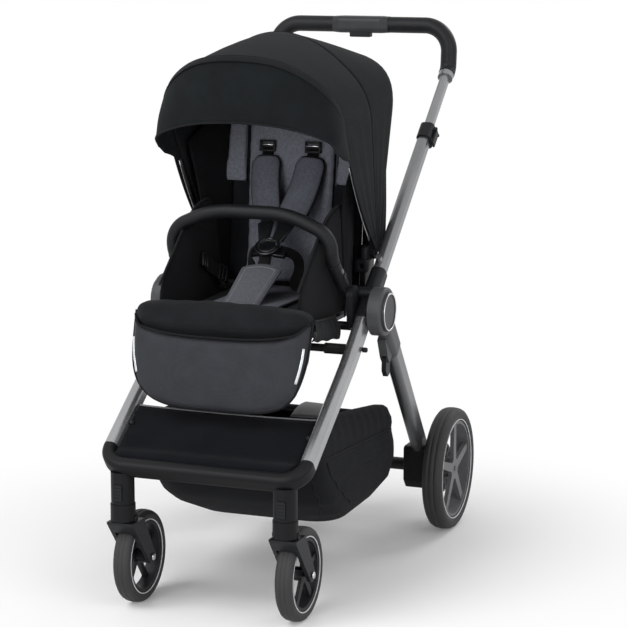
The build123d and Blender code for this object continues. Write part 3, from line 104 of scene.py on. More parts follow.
def addNode(mat, kind, **values):
    node = mat.node_tree.nodes.new(kind)
    for key, value in values.items():
        if key in node.inputs:
            node.inputs[key].default_value = value
        else:
            setattr(node, key, value)
    return node


def wire(mat, output, socket):
    mat.node_tree.links.new(output, socket)


def toSurface(mat, output, key):
    wire(mat, output, mat.node_tree.nodes["Principled BSDF"].inputs[key])


def objectCoords(mat, scale=(1, 1, 1), turn=(0, 0, 0)):
    coords = addNode(mat, "ShaderNodeTexCoord")
    mapping = addNode(mat, "ShaderNodeMapping", Scale=scale, Rotation=turn)
    wire(mat, coords.outputs["Object"], mapping.inputs["Vector"])
    return mapping.outputs["Vector"]


def patternOn(mat, vector, kind, result, **values):
    node = addNode(mat, kind, **values)
    wire(mat, vector, node.inputs["Vector"])
    return node.outputs[result]


def noiseOn(mat, vector, scale, detail=4.0, rough=0.6):
    return patternOn(mat, vector, "ShaderNodeTexNoise", "Fac", Scale=scale, Detail=detail, Roughness=rough)


def waveOn(mat, vector, direction, scale):
    return patternOn(mat, vector, "ShaderNodeTexWave", "Fac", Scale=scale, Distortion=0.6, bands_direction=direction)


def mathOn(mat, operation, first, second):
    node = addNode(mat, "ShaderNodeMath", operation=operation)
    for socket, value in zip(node.inputs, (first, second)):
        if hasattr(value, "is_linked"):
            wire(mat, value, socket)
        else:
            socket.default_value = value
    return node.outputs["Value"]


def plus(mat, first, second):
    return mathOn(mat, "ADD", first, second)


def times(mat, first, second):
    return mathOn(mat, "MULTIPLY", first, second)


def shadeBy(mat, factor, low, high):
    ramp = addNode(mat, "ShaderNodeValToRGB")
    for stop, colour, at in zip(ramp.color_ramp.elements, (low, high), (0.3, 0.72)):
        stop.color, stop.position = (*colour, 1), at
    wire(mat, factor, ramp.inputs["Fac"])
    toSurface(mat, ramp.outputs["Color"], "Base Color")


def roughBy(mat, factor, low, high):
    span = addNode(mat, "ShaderNodeMapRange")
    span.inputs["To Min"].default_value, span.inputs["To Max"].default_value = low, high
    wire(mat, factor, span.inputs["Value"])
    toSurface(mat, span.outputs["Result"], "Roughness")


def bumpBy(mat, height, strength, distance):
    bump = addNode(mat, "ShaderNodeBump", Strength=strength, Distance=distance)
    wire(mat, height, bump.inputs["Height"])
    toSurface(mat, bump.outputs["Normal"], "Normal")


def tint(colour, gain):
    return tuple(min(1.0, c * gain) for c in colour)


# broad noise, its tints, its roughness steps, fine noise, bump strength and depth, specular level
coats = {
    "moulded": ((14.0, 3.0), (0.82, 1.16), (-0.07, 0.08), (900.0, 3.0), (0.12, 0.0006), 0.16),
    "glossy": ((14.0, 3.0), (0.82, 1.16), (-0.07, 0.08), (900.0, 3.0), (0.05, 0.0006), 0.5),
    "blacked": ((14.0, 3.0), (0.82, 1.16), (-0.07, 0.08), (1600.0, 3.0), (0.05, 0.0006), 0.16),
    "painted": ((9.0, 3.0), (0.93, 1.08), (-0.05, 0.06), (1500.0, 2.0), (0.05, 0.0003), 0.5),
    "rubber": ((18.0, 4.0), (0.75, 1.35), (-0.1, 0.1), (700.0, 4.0), (0.2, 0.0008), 0.5),
}


def coated(kind, name, colour, rough, metallic=0.0):
    broadNoise, tints, steps, fineNoise, bump, specular = coats[kind]
    mat = newFinish(name, colour, rough, metallic)
    where = objectCoords(mat)
    broad = noiseOn(mat, where, *broadNoise)
    shadeBy(mat, broad, *(tint(colour, gain) for gain in tints))
    roughBy(mat, broad, *(rough + step for step in steps))
    bumpBy(mat, noiseOn(mat, where, *fineNoise), *bump)
    setSurface(mat, {"Specular IOR Level": specular})
    return mat


def wovenCloth(name, colour, weave, strength, rough=0.86, low=0.78, high=1.25):
    mat = newFinish(name, colour, rough)
    where = objectCoords(mat)
    warp, weft, depth = [waveOn(mat, where, way, weave) for way in "XZY"]
    cross = plus(mat, times(mat, warp, weft), times(mat, warp, depth))
    broad = noiseOn(mat, where, 22.0)
    shade = plus(mat, times(mat, cross, 0.16), times(mat, broad, 0.84))
    shadeBy(mat, shade, tint(colour, low), tint(colour, high))
    bumpBy(mat, plus(mat, cross, times(mat, broad, 0.6)), strength, 0.0008)
    setSurface(mat, {"Sheen Weight": 0.03, "Sheen Roughness": 0.5, "Specular IOR Level": 0.07})
    return mat


def melangeCloth(name, dark, light):
    mat = newFinish(name, light, 0.9)
    threads = objectCoords(mat, (1.0, 1.0, 0.22), (0.0, 0.0, 0.5))
    fleck = noiseOn(mat, threads, 850.0, 3.0, 0.7)
    clump = noiseOn(mat, objectCoords(mat), 160.0, 4.0, 0.7)
    mix = plus(mat, times(mat, fleck, 0.62), times(mat, clump, 0.38))
    shadeBy(mat, mix, dark, light)
    bumpBy(mat, mix, 0.35, 0.0009)
    setSurface(mat, {"Sheen Weight": 0.05, "Sheen Roughness": 0.55, "Specular IOR Level": 0.12})
    return mat


def grainedCover(name, colour, rough):
    mat = newFinish(name, colour, rough)
    where = objectCoords(mat)
    cells = patternOn(mat, where, "ShaderNodeTexVoronoi", "Distance", Scale=620.0, feature="DISTANCE_TO_EDGE")
    broad = noiseOn(mat, where, 30.0)
    shadeBy(mat, broad, tint(colour, 0.8), tint(colour, 1.25))
    roughBy(mat, broad, rough - 0.06, rough + 0.1)
    bumpBy(mat, plus(mat, cells, times(mat, broad, 0.3)), 0.25, 0.0006)
    setSurface(mat, {"Specular IOR Level": 0.18})
    return mat


def brightMetal(name, colour, rough):
    mat = newFinish(name, colour, rough, 1.0)
    brush = noiseOn(mat, objectCoords(mat, (1, 1, 0.05)), 600.0, 3.0)
    roughBy(mat, brush, rough - 0.06, rough + 0.1)
    bumpBy(mat, brush, 0.04, 0.0003)
    return mat


blackPlastic = coated("moulded", "blackMoulding", (0.0095, 0.0105, 0.0115), 0.44)
darkPlastic = coated("moulded", "darkMoulding", (0.0125, 0.0135, 0.015), 0.42)
framePlastic = coated("moulded", "frameMoulding", (0.004, 0.0044, 0.005), 0.5)
glossPlastic = coated("glossy", "glossMoulding", (0.007, 0.0075, 0.0085), 0.24)
rimPlastic = coated("moulded", "rimMoulding", (0.125, 0.127, 0.132), 0.42)
hubPlastic = coated("moulded", "hubMoulding", (0.06, 0.062, 0.065), 0.4)
consolePlastic = coated("moulded", "consoleMoulding", (0.034, 0.036, 0.038), 0.38)
blackSteel = coated("blacked", "blackSteel", (0.02, 0.02, 0.021), 0.36)
pinStripe = coated("moulded", "pinStripe", (0.62, 0.63, 0.64), 0.45)
gunmetal = coated("painted", "gunmetalTube", (0.225, 0.23, 0.238), 0.3, 0.8)
# a lighter copy of the gunmetal tube paint for the front legs: painted light where the lamps fall on them
litLegTube = coated("painted", "litLegTube", (0.33, 0.336, 0.345), 0.26, 0.8)
# a darker copy of the gunmetal tube paint for the rear legs: painted shade
rearTubeShaded = coated("painted", "rearTubeShaded", (0.118, 0.122, 0.128), 0.3, 0.8)
sliderTube = coated("painted", "sliderTube", (0.26, 0.266, 0.274), 0.26, 0.8)
flapTape = coated("painted", "flapTape", (0.03, 0.031, 0.033), 0.55, 0.1)
reflectiveTape = coated("painted", "reflectiveTape", (0.62, 0.64, 0.66), 0.3, 0.55)
steelBolt = brightMetal("steelBolt", (0.55, 0.55, 0.56), 0.25)
brassValve = brightMetal("brassValve", (0.62, 0.42, 0.16), 0.28)
bowStrip = brightMetal("bowStrip", (0.5, 0.51, 0.52), 0.4)
capRing = brightMetal("capRing", (0.6, 0.61, 0.62), 0.2)
canopyCloth = wovenCloth("canopyCloth", (0.0076, 0.0092, 0.0101), 560.0, 0.3)
bodyCloth = wovenCloth("bodyCloth", (0.0100, 0.0113, 0.0128), 520.0, 0.35)
liningCloth = wovenCloth("liningCloth", (0.0062, 0.0068, 0.0076), 520.0, 0.35)
basketCloth = wovenCloth("basketCloth", (0.0062, 0.0069, 0.0084), 420.0, 0.4)
apronCloth = wovenCloth("apronCloth", (0.0036, 0.0042, 0.0058), 640.0, 0.4)
legRestCloth = wovenCloth("legRestCloth", (0.031, 0.0325, 0.0375), 700.0, 0.2, 0.6, 0.85, 1.15)
strapWebbing = wovenCloth("strapWebbing", (0.0085, 0.0085, 0.0095), 900.0, 0.5, 0.7)
pipingCloth = wovenCloth("pipingCloth", (0.009, 0.0095, 0.0105), 1200.0, 0.3, 0.7)
stitchThread = wovenCloth("stitchThread", (0.2, 0.205, 0.225), 2400.0, 0.3, 0.7)
paleBinding = wovenCloth("paleBinding", (0.16, 0.165, 0.175), 1200.0, 0.25, 0.6)
greyMelange = melangeCloth("greyMelange", (0.085, 0.09, 0.108), (0.235, 0.247, 0.29))
padMelange = melangeCloth("padMelange", (0.055, 0.058, 0.072), (0.15, 0.158, 0.19))
# a darker copy of the grey melange: painted shade on the seat liner, also used for the head wing seams
shadedMelange = melangeCloth("shadedMelange", (0.05, 0.053, 0.064), (0.14, 0.147, 0.172))
crotchMelange = melangeCloth("crotchMelange", (0.048, 0.05, 0.058), (0.13, 0.134, 0.152))
gripCover = grainedCover("gripCover", (0.0085, 0.0092, 0.0104), 0.46)
barCover = grainedCover("barCover", (0.0052, 0.0058, 0.0068), 0.48)
tyreBlack = coated("rubber", "tyreBlack", (0.016, 0.016, 0.017), 0.72)
print("finishes made")


# mesh helpers

def spread(line, count, closed=False):
    points = list(line) + ([line[0]] if closed else [])
    lengths = [0.0]
    for a, b in zip(points, points[1:]):
        lengths.append(lengths[-1] + (b - a).length)
    steps = count if closed else count - 1
    out, at = [], 0
    for i in range(count):
        goal = lengths[-1] * i / steps
        while at < len(points) - 2 and lengths[at + 1] < goal:
            at += 1
        run = lengths[at + 1] - lengths[at]
        out.append(points[at].lerp(points[at + 1], (goal - lengths[at]) / run if run else 0))
    return out


def roundedLine(corners, reach, count, closed=False):
    points = [Vector(c) for c in corners]
    line = [] if closed else [points[0]]
    inner = range(len(points)) if closed else range(1, len(points) - 1)
    for i in inner:
        corner, before, after = points[i], points[i - 1], points[(i + 1) % len(points)]
        start = corner + (before - corner).normalized() * min(reach, (before - corner).length * 0.5)
        end = corner + (after - corner).normalized() * min(reach, (after - corner).length * 0.5)
        for k in range(9):
            t = k / 8
            line.append(start.lerp(corner, t).lerp(corner.lerp(end, t), t))
    if not closed:
        line.append(points[-1])
    return spread(line, count, closed)


def onSide(points, side):
    return [(x * side, y, z) for x, y, z in points]


def sheetMesh(rows, closed=False):
    bm = bmesh.new()
    verts = [bm.verts.new(p) for p in rows[0]]
    loop = lambda vs: list(zip(vs, vs[1:] + (vs[:1] if closed else [])))
    edges = [bm.edges.new(pair) for pair in loop(verts)]
    for row in rows[1:]:
        grown = bmesh.ops.extrude_edge_only(bm, edges=edges)["geom"]
        fresh = {g for g in grown if isinstance(g, bmesh.types.BMVert)}
        after = [next(e.other_vert(v) for e in v.link_edges if e.other_vert(v) in fresh) for v in verts]
        for v, p in zip(after, row):
            v.co = p
        edges = [bm.edges.get(pair) for pair in loop(after)]
        verts = after
    return bm


def slabMesh(loop, push):
    bm = bmesh.new()
    face = bm.faces.new([bm.verts.new(p) for p in loop])
    grown = bmesh.ops.extrude_face_region(bm, geom=[face])["geom"]
    bmesh.ops.translate(bm, vec=push, verts=[g for g in grown if isinstance(g, bmesh.types.BMVert)])
    bmesh.ops.recalc_face_normals(bm, faces=bm.faces)
    return bm


def meshOf(bm, name):
    mesh = bpy.data.meshes.new(name)
    bm.to_mesh(mesh)
    bm.free()
    return mesh


def place(bm, name, finish, body, *rest, **named):
    bmesh.ops.recalc_face_normals(bm, faces=bm.faces)
    return placeMesh(meshOf(bm, name), name, finish, body, *rest, **named)


def placeMesh(mesh, name, finish, body, replaces=(), thick=0.0, offset=-1.0, level=0, bevel=0.0):
    obj = linked(name, mesh)
    if bevel:
        mod = obj.modifiers.new("bevel", "BEVEL")
        mod.width, mod.segments, mod.limit_method, mod.angle_limit = bevel, 2, "ANGLE", radians(40)
    if level:
        mod = obj.modifiers.new("subdivide", "SUBSURF")
        mod.levels = mod.render_levels = level
    if thick:
        mod = obj.modifiers.new("wall", "SOLIDIFY")
        mod.thickness, mod.offset = thick, offset
    if obj.modifiers:
        bakeModifiers(obj)
    obj.data.materials.clear()
    obj.data.materials.append(finish)
    obj.data.shade_smooth()
    if body:
        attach(obj, body)
    if replaces:
        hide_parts(*replaces)
    return obj


def evaluatedMesh(obj):
    bpy.context.view_layer.update()
    return bpy.data.meshes.new_from_object(obj.evaluated_get(bpy.context.evaluated_depsgraph_get()))


def bakeModifiers(obj):
    mesh = evaluatedMesh(obj)
    obj.modifiers.clear()
    obj.data = mesh


def tube(name, points, radius, finish, body, closed=False):
    curve = bpy.data.curves.new(name, "CURVE")
    curve.dimensions = "3D"
    curve.bevel_depth, curve.bevel_resolution, curve.resolution_u = radius, 3, 6
    curve.use_fill_caps = not closed
    spline = curve.splines.new("NURBS")
    spline.points.add(len(points) - 1)
    for p, co in zip(spline.points, points):
        p.co = (*co, 1)
    spline.order_u = 3
    spline.use_cyclic_u = closed
    spline.use_endpoint_u = not closed
    holder = linked(name + "Line", curve)
    mesh = evaluatedMesh(holder)
    bpy.data.objects.remove(holder)
    return placeMesh(mesh, name, finish, body)


def boxMesh(size, centre=(0, 0, 0)):
    bm = bmesh.new()
    bmesh.ops.create_cube(bm, size=1.0)
    bmesh.ops.scale(bm, vec=Vector(size), verts=bm.verts)
    bmesh.ops.translate(bm, vec=Vector(centre), verts=bm.verts)
    return bm


def bevelAll(bm, width, segments=3):
    bmesh.ops.bevel(bm, geom=bm.edges[:], offset=width, segments=segments, profile=0.5, affect="EDGES", material=-1)
    return bm


def turned(profile, axisPoint, axis, steps):
    bm = bmesh.new()
    verts = [bm.verts.new(p) for p in profile]
    edges = [bm.edges.new(pair) for pair in zip(verts, verts[1:])]
    bmesh.ops.spin(bm, geom=verts + edges, cent=Vector(axisPoint), axis=Vector(axis), angle=2 * pi, steps=steps,
                   use_merge=True)
    bmesh.ops.remove_doubles(bm, verts=bm.verts, dist=1e-6)
    return bm


def axisOf(centre, axis):
    along = Vector(axis).normalized()
    return Vector(centre), along, along.orthogonal().normalized()


def ringMesh(centre, radius, thick, axis=(1, 0, 0), steps=96, flat=1.0):
    centre, along, out = axisOf(centre, axis)
    turns = [k * pi / 4 for k in range(9)]
    loop = [centre + out * (radius + thick * cos(a)) + along * thick * flat * sin(a) for a in turns]
    return turned(loop, centre, along, steps)


def knob(centre, axis, profile, steps=24):
    centre, along, out = axisOf(centre, axis)
    return turned([centre + out * r + along * h for r, h in profile], centre, along, steps)


def rod(a, b, radius, steps=16):
    a, b = Vector(a), Vector(b)
    length, edge = (b - a).length, radius * 0.3
    inner, far = radius - edge, length - edge
    return knob(a, b - a, [(0, 0), (inner, 0), (radius, edge), (radius, far), (inner, length), (0, length)], steps)


def joinMeshes(pieces):
    out = bmesh.new()
    for bm in pieces:
        holder = meshOf(bm, "part")
        out.from_mesh(holder)
        bpy.data.meshes.remove(holder)
    return out


def smoothTwice(bm):
    for _ in range(2):
        bmesh.ops.smooth_vert(bm, verts=bm.verts, factor=0.5, use_axis_x=True, use_axis_y=True, use_axis_z=True)
    return bm


# cloth blown up a little, never further than the cap
puffing = {"frames": 16, "quality": 4, "mass": 0.3, "stretch": 12, "bend": 0.6}


def puff(bm, name, voxel, pressure, cap):
    obj = linked(name + "Form", meshOf(bm, name + "Form"))
    remesh = obj.modifiers.new("voxels", "REMESH")
    remesh.mode, remesh.voxel_size = "VOXEL", voxel
    bakeModifiers(obj)
    rest = [v.co.copy() for v in obj.data.vertices]
    cloth = obj.modifiers.new("cloth", "CLOTH")
    cloth.settings.quality = puffing["quality"]
    cloth.settings.mass = puffing["mass"]
    cloth.settings.tension_stiffness = cloth.settings.compression_stiffness = puffing["stretch"]
    cloth.settings.bending_stiffness = puffing["bend"]
    cloth.settings.use_pressure = True
    cloth.settings.uniform_pressure_force = pressure
    cloth.settings.effector_weights.gravity = 0
    cloth.point_cache.frame_start, cloth.point_cache.frame_end = 1, puffing["frames"]
    for step in range(1, puffing["frames"] + 1):
        bpy.context.scene.frame_set(step)
    bakeModifiers(obj)
    bpy.context.scene.frame_set(1)
    for v, start in zip(obj.data.vertices, rest):
        move = v.co - start
        if move.length > cap:
            v.co = start + move.normalized() * cap
    out = bmesh.new()
    out.from_mesh(obj.data)
    bpy.data.objects.remove(obj)
    return smoothTwice(out)


def wayAt(points, i, normal):
    ahead = (points[min(i + 1, len(points) - 1)] - points[max(i - 1, 0)]).normalized()
    return ahead, ahead.cross(normal).normalized()


def strap(name, points, width, thick, finish, body, normal):
    rows = []
    for i, p in enumerate(points):
        across = wayAt(points, i, normal)[1]
        rows.append([p + across * (k / 4 - 0.5) * width for k in range(5)])
    return place(sheetMesh(rows), name, finish, body, (), thick, 0.0, bevel=0.0004)


# canopy: arches about one pin, cloth stretched from arch to arch
hood = {
    "half": 0.1899,
    # angle, height, rise, run, drop, low end, sweep
    "rear": (72.5, 0.434, 0.068, 0.064, 0.010, 0.026, 0),
    "mid": (99.0, 0.470, 0.128, 0.100, 0.028, 0.026, 0),
    "front": (126.0, 0.519, 0.104, 0.086, 0.014, 0.026, 1),
    "seam": (126.0, 0.519, 0.104, 0.086, 0.014, 0.262, 1),
    "brim": (137.0, 0.4308, 0.0494, 0.0914, 0.0072, 0.318, 0),
    "reach": 0.062,
    "across": 73,
    "wall": 0.0016,
    "swell": 0.005,
    "folds": 0.0014,
    "bindingTurns": (-0.75, -0.4, 0, 0.4, 0.75),
    "stripX": 0.1862,
    "stripAngle": 124.8,
}


def sweepAt(height):
    bend = lambda top, low: clamp((top - height) / (top - low))
    return 4.0 * bend(0.36, 0.26) + 8.0 * bend(0.26, 0.05)


def archLine(spec, grow=0.0, count=None, turn=0.0):
    tilt, high, rise, run, drop, low, sweep = spec
    half, high = hood["half"] + grow, high + grow
    side = [(half, low), (half, high - rise), (half - run, high - drop)]
    flat = [(-x, z) for x, z in side] + [(0, high)] + side[::-1]
    line = roundedLine([(x, z, 0) for x, z in flat], hood["reach"], count or hood["across"])
    out = []
    for p in line:
        angle = radians(tilt + turn + sweep * sweepAt(p.y))
        out.append(canopyPin + Vector((p.x, cos(angle) * p.y, sin(angle) * p.y)))
    return out


def archRows(first, last, count):
    a, b = archLine(first), archLine(last)
    rows = []
    for i in range(count + 1):
        t = i / count
        row = []
        for j, (p, q) in enumerate(zip(a, b)):
            point = p.lerp(q, t)
            out = Vector((point.x * 0.25, point.y - canopyPin.y, point.z - canopyPin.z))
            near = min(1.0, out.length / 0.3)
            point += out.normalized() * hood["swell"] * sin(pi * t) * near
            fold = hood["folds"] * sin(pi * t) * sin(t * 19 + j * 0.05) * max(0.0, 1 - out.length / 0.36)
            point.x += fold if point.x < 0 else -fold
            row.append(point)
        rows.append(row)
    return rows


rearSheet = place(sheetMesh(archRows(hood["rear"], hood["mid"], 14)),
                  "canopyRearSheet", canopyCloth, None, ["canopy_rear_panel"], hood["wall"], 1.0)
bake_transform(rearSheet)
frontSheet = place(sheetMesh(archRows(hood["mid"], hood["front"], 16)),
                   "canopyFrontSheet", canopyCloth, None, ["canopy_front_panel"], hood["wall"], 1.0)
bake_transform(frontSheet)
visorRows = []
for k in range(15):
    t = k / 14
    spec = [a + (b - a) * t for a, b in zip(hood["seam"], hood["brim"])]
    spec[5] += 0.024 * max(0.0, (t - 0.7) / 0.3) ** 2
    visorRows.append(archLine(spec, 0.0008 + 0.004 * sin(pi * t)))
visorSheet = place(sheetMesh(visorRows), "canopyVisorSheet", canopyCloth, "canopy_front", ["canopy_visor"],
                   hood["wall"], 1.0)
binding = [archLine(hood["front"], 0.0020, None, turn) for turn in hood["bindingTurns"]]
place(sheetMesh(binding), "archBinding", pipingCloth, "canopy_front", (), 0.0016, 0.0)
tube("brimBinding", visorRows[-1], 0.0024, pipingCloth, "canopy_front")
for name, arch, grow, radius, turn, body in (
    ("archBeadFront", "front", 0.0022, 0.0013, 0.85, "canopy_front"),
    ("archBeadRear", "front", 0.0022, 0.0013, -0.9, "canopy_front"),
    ("midArchSeam", "mid", 0.0016, 0.0011, 0.0, "canopy_mid"),
):
    tube(name, archLine(hood[arch], grow, 49, turn), radius, pipingCloth, body)
for side, word in sides:
    points = []
    for k in range(14):
        reach = 0.05 + 0.205 * k / 13
        angle = radians(hood["stripAngle"] + sweepAt(reach))
        points.append(canopyPin + Vector((hood["stripX"] * side, cos(angle) * reach, sin(angle) * reach)))
    strap(f"bowEnd{word}", points, 0.0105, 0.0016, bowStrip, "canopy_front", Vector((1, 0, 0)))

# curtain from the rear arch in to the backrest, and the cheeks beside the pin
curtainHalf = [(-0.149, 0.085), (-0.148, 0.40), (-0.11, 0.445)]
rearLine = archLine(hood["rear"], 0.0004)
for p in rearLine:
    p.y += 0.016 * max(0.0, 1 - (p - canopyPin).yz.length / 0.22)
curtainEdge = curtainHalf + [(-x, up) for x, up in curtainHalf[::-1]]
curtainFoot = roundedLine([backPoint(x, up, -0.018) for x, up in curtainEdge], 0.04, len(rearLine))
curtainRows = []
for k in range(9):
    belly = Vector((0, 0.012 * sin(pi * k / 8), 0))
    curtainRows.append([p.lerp(q, k / 8) + belly for p, q in zip(rearLine, curtainFoot)])
curtain = place(sheetMesh(curtainRows), "canopyRearCurtain", canopyCloth, "backrest", (), hood["wall"], 1.0)
cheek = {"x": 0.1880, "wall": 0.0012, "round": 0.014,
         "outline": [(0.002, 0.694), (0.020, 0.674), (0.046, 0.671), (0.066, 0.680), (0.079, 0.705), (0.083, 0.760),
                     (0.080, 0.850), (0.066, 0.850), (0.040, 0.760)]}
for side, word in sides:
    loop = roundedLine([(cheek["x"] * side, y, z) for y, z in cheek["outline"]], cheek["round"], 70, True)
    slab = slabMesh(loop, (cheek["wall"] * side, 0, 0))
    place(slab, f"canopyCheek{word}", canopyCloth, "backrest", bevel=0.0004)
    hem = [p + Vector((0.0008 * side, 0, 0)) for p in loop[4:52]]
    tube(f"canopyCheekHem{word}", hem, 0.0007, pipingCloth, "backrest")
print("canopy sewn")

# wheels
wheels = {
    "rear": {"centre": (0.257, 0.333, 0.1375), "radius": 0.1375, "half": 0.023, "rim": 0.108, "stripe": 0.1115,
             "valve": 245},
    "front": {"centre": (0.1724, -0.388, 0.094), "radius": 0.094, "half": 0.018, "rim": 0.072, "stripe": 0.0750,
              "valve": 170},
    "profile": [(-0.72, 0.012), (-0.84, 0.09), (-0.95, 0.28), (-1.0, 0.5), (-0.95, 0.7), (-0.8, 0.86), (-0.56, 0.95),
                (-0.32, 0.985), (-0.285, 0.955), (-0.245, 0.955), (-0.21, 0.993), (0.0, 1.0)],
}


def tyreMesh(spec, centre):
    half = wheels["profile"] + [(-x, r) for x, r in wheels["profile"][-2::-1]]
    tall = spec["radius"] - spec["rim"]
    profile = [centre + Vector((x * spec["half"], 0, spec["rim"] + r * tall)) for x, r in half + half[:1]]
    return turned(profile, centre, (1, 0, 0), 96)


for end in ("rear", "front"):
    spec = wheels[end]
    for side, title in sides:
        word = title.lower()
        body = f"{end}_wheel_{word}"
        x, y, z = spec["centre"]
        centre = Vector((x * side, y, z))
        place(tyreMesh(spec, centre), f"{end}Tyre{title}", tyreBlack, body, [f"{end}_tyre_{word}"])
        faces = [centre + Vector((off * spec["half"] * 0.875, 0, 0)) for off in (1, -1)]
        stripes = joinMeshes([ringMesh(c, spec["stripe"], 0.0012) for c in faces])
        place(stripes, f"{end}Stripe{title}", pinStripe, body)
        turn = radians(spec["valve"])
        ray = Vector((0, cos(turn), sin(turn)))
        foot, tip = centre + ray * (spec["rim"] - 0.0075), centre + ray * (spec["rim"] - 0.032)
        valve = joinMeshes([rod(foot, tip, 0.0026), rod(foot.lerp(tip, 0.55), tip, 0.0034)])
        place(valve, f"{end}Valve{title}", brassValve, body)
print("tyres turned")

# seat cushion with its front roll
seat = {"half": 0.144, "front": -0.335, "back": -0.014, "low": 0.5533, "top": 0.5873, "rollHalf": 0.187,
        "roll": (-0.401, -0.318, 0.546, 0.606, 0.022)}


def padBlock(half, y0, y1, z0, z1, rounding=0.012):
    return bevelAll(boxMesh((2 * half, y1 - y0, z1 - z0), (0, (y0 + y1) / 2, (z0 + z1) / 2)), rounding)


block = padBlock(seat["half"] - 0.004, seat["front"], seat["back"] - 0.004, seat["low"] + 0.001, seat["top"] - 0.006)
cushion = puff(block, "cushion", 0.005, 4.0, 0.006)
cushionPiece = place(cushion, "seatCushionPad", bodyCloth, "chassis", ["seat_cushion"], level=1)
roll = puff(padBlock(seat["rollHalf"], *seat["roll"]), "roll", 0.005, 4.0, 0.007)
for v in roll.verts:
    end = min(1.0, abs(v.co.x / seat["rollHalf"]))
    v.co.z += (v.co.z - seat["low"]) * (0.13 - 0.09 * end ** 4)
    if v.co.y < -0.34:
        v.co.y += 0.036 * end ** 6 * (-0.34 - v.co.y) / 0.061
    if v.co.y < -0.36:
        under = clamp((0.577 + 0.012 * end ** 3 - v.co.z) / 0.018)
        v.co.y += 0.020 * under * (-0.36 - v.co.y) / 0.04
    v.co.z += 0.0012 * sin(v.co.x * 95 + 1.3) * sin(v.co.x * 41) * (v.co.z > 0.58)
rollPiece = place(roll, "seatFrontRoll", bodyCloth, "chassis", level=1)
rows = []
for k in range(15):
    t = k / 14
    half = 0.078 - 0.006 * t
    y = -0.02 - 0.305 * t
    crown = [0.5915 + 0.0035 * sin(pi * j / 16) + 0.005 * t ** 3 for j in range(17)]
    rows.append([Vector((half * (j / 8 - 1), y, z)) for j, z in enumerate(crown)])
# the seat liner is drawn in the darker melange copy as painted shade
seatLiner = place(sheetMesh(rows), "seatLiner", shadedMelange, "chassis", (), 0.005, 0.0, level=1)
print("seat padded")

# side panels
sidePanel = {"in": 0.1446, "wide": 0.0052, "round": 0.04,
             "outline": [(-0.330, 0.557), (-0.330, 0.640), (-0.180, 0.764), (-0.112, 0.785), (-0.060, 0.780),
                         (-0.018, 0.650), (-0.018, 0.557)]}
for side, word in sides:
    loop = roundedLine([(sidePanel["in"] * side, y, z) for y, z in sidePanel["outline"]], sidePanel["round"], 90, True)
    slab = puff(slabMesh(loop, (sidePanel["wide"] * side, 0, 0)), "sidePanel", 0.004, 3.0, 0.0022)
    panelPiece = place(slab, f"sidePanel{word}", liningCloth, "chassis", ["side_panels"] if side > 0 else ())
    edge = [((sidePanel["in"] + 0.0026) * side, y, z + 0.0008) for y, z in sidePanel["outline"][1:6]]
    tube(f"sidePanelPiping{word}", roundedLine(edge, sidePanel["round"], 40), 0.0026, pipingCloth, "chassis")
print("side panels cut")

# backrest pad, grey liner, wings
backPad = {"half": 0.144, "low": 0.015, "high": 0.442, "back": -0.0057, "front": 0.0203}
liner = {"waist": 0.097, "neck": 0.105, "head": 0.1425, "step": 0.153, "low": 0.023, "stepLow": 0.236, "high": 0.432,
         "back": 0.0206, "front": 0.0306, "seam": 0.07, "seamHalf": 0.006}


def backSlab(outline, back, front, reach, count):
    loop = roundedLine([backPoint(x, up, back) for x, up in outline], reach, count, True)
    return slabMesh(loop, leanFront * (front - back))


padOutline = [(-backPad["half"] + 0.003, backPad["low"]), (backPad["half"] - 0.003, backPad["low"]),
              (backPad["half"] - 0.003, backPad["high"]), (-backPad["half"] + 0.003, backPad["high"])]
padSlab = backSlab(padOutline, backPad["back"] + 0.001, backPad["front"] - 0.005, 0.02, 80)
padMesh = puff(padSlab, "backPad", 0.005, 4.0, 0.004)
backPadPiece = place(padMesh, "backrestPad", bodyCloth, "backrest", ["backrest_pad"], level=1)
flapRows = [[backPoint(0.0138 * j - 0.138, 0.034 - 0.047 * k / 4, 0.0130) for j in range(21)] for k in range(5)]
backFlap = place(sheetMesh(flapRows), "backrestFlap", liningCloth, "backrest", (), 0.0016, 0.0)
linerOutline = [(liner["waist"], liner["low"]), (liner["neck"], liner["high"]), (-liner["neck"], liner["high"]),
                (-liner["waist"], liner["low"])]
linerSlab = backSlab(linerOutline, liner["back"] + 0.0005, liner["front"] - 0.003, 0.02, 110)
linerMesh = puff(linerSlab, "liner", 0.004, 4.0, 0.006)
for v in linerMesh.verts:
    for seamX in (liner["seam"], -liner["seam"]):
        gap = abs(v.co.x - seamX)
        if gap < liner["seamHalf"]:
            v.co -= leanFront * 0.003 * (1 - gap / liner["seamHalf"])
linerPiece = place(linerMesh, "backLiner", greyMelange, "backrest", ["back_liner"], level=1)
for side, word in sides:
    outline = [(liner["step"] * side, liner["stepLow"]), (liner["head"] * side, liner["high"]),
               ((liner["neck"] - 0.004) * side, liner["high"]), ((liner["neck"] - 0.005) * side, liner["stepLow"])]
    headSlab = backSlab(outline, liner["back"] + 0.0005, liner["front"] - 0.002, 0.007, 60)
    headMesh = puff(headSlab, "head", 0.0035, 4.0, 0.004)
    headPiece = place(headMesh, f"headWing{word}", greyMelange, "backrest", (), level=1)
    seam = [backPoint((liner["neck"] - 0.003) * side, liner["stepLow"] + 0.19 * k / 11, liner["front"] - 0.0022)
            for k in range(12)]
    tube(f"headWingSeam{word}", seam, 0.0009, shadedMelange, "backrest")

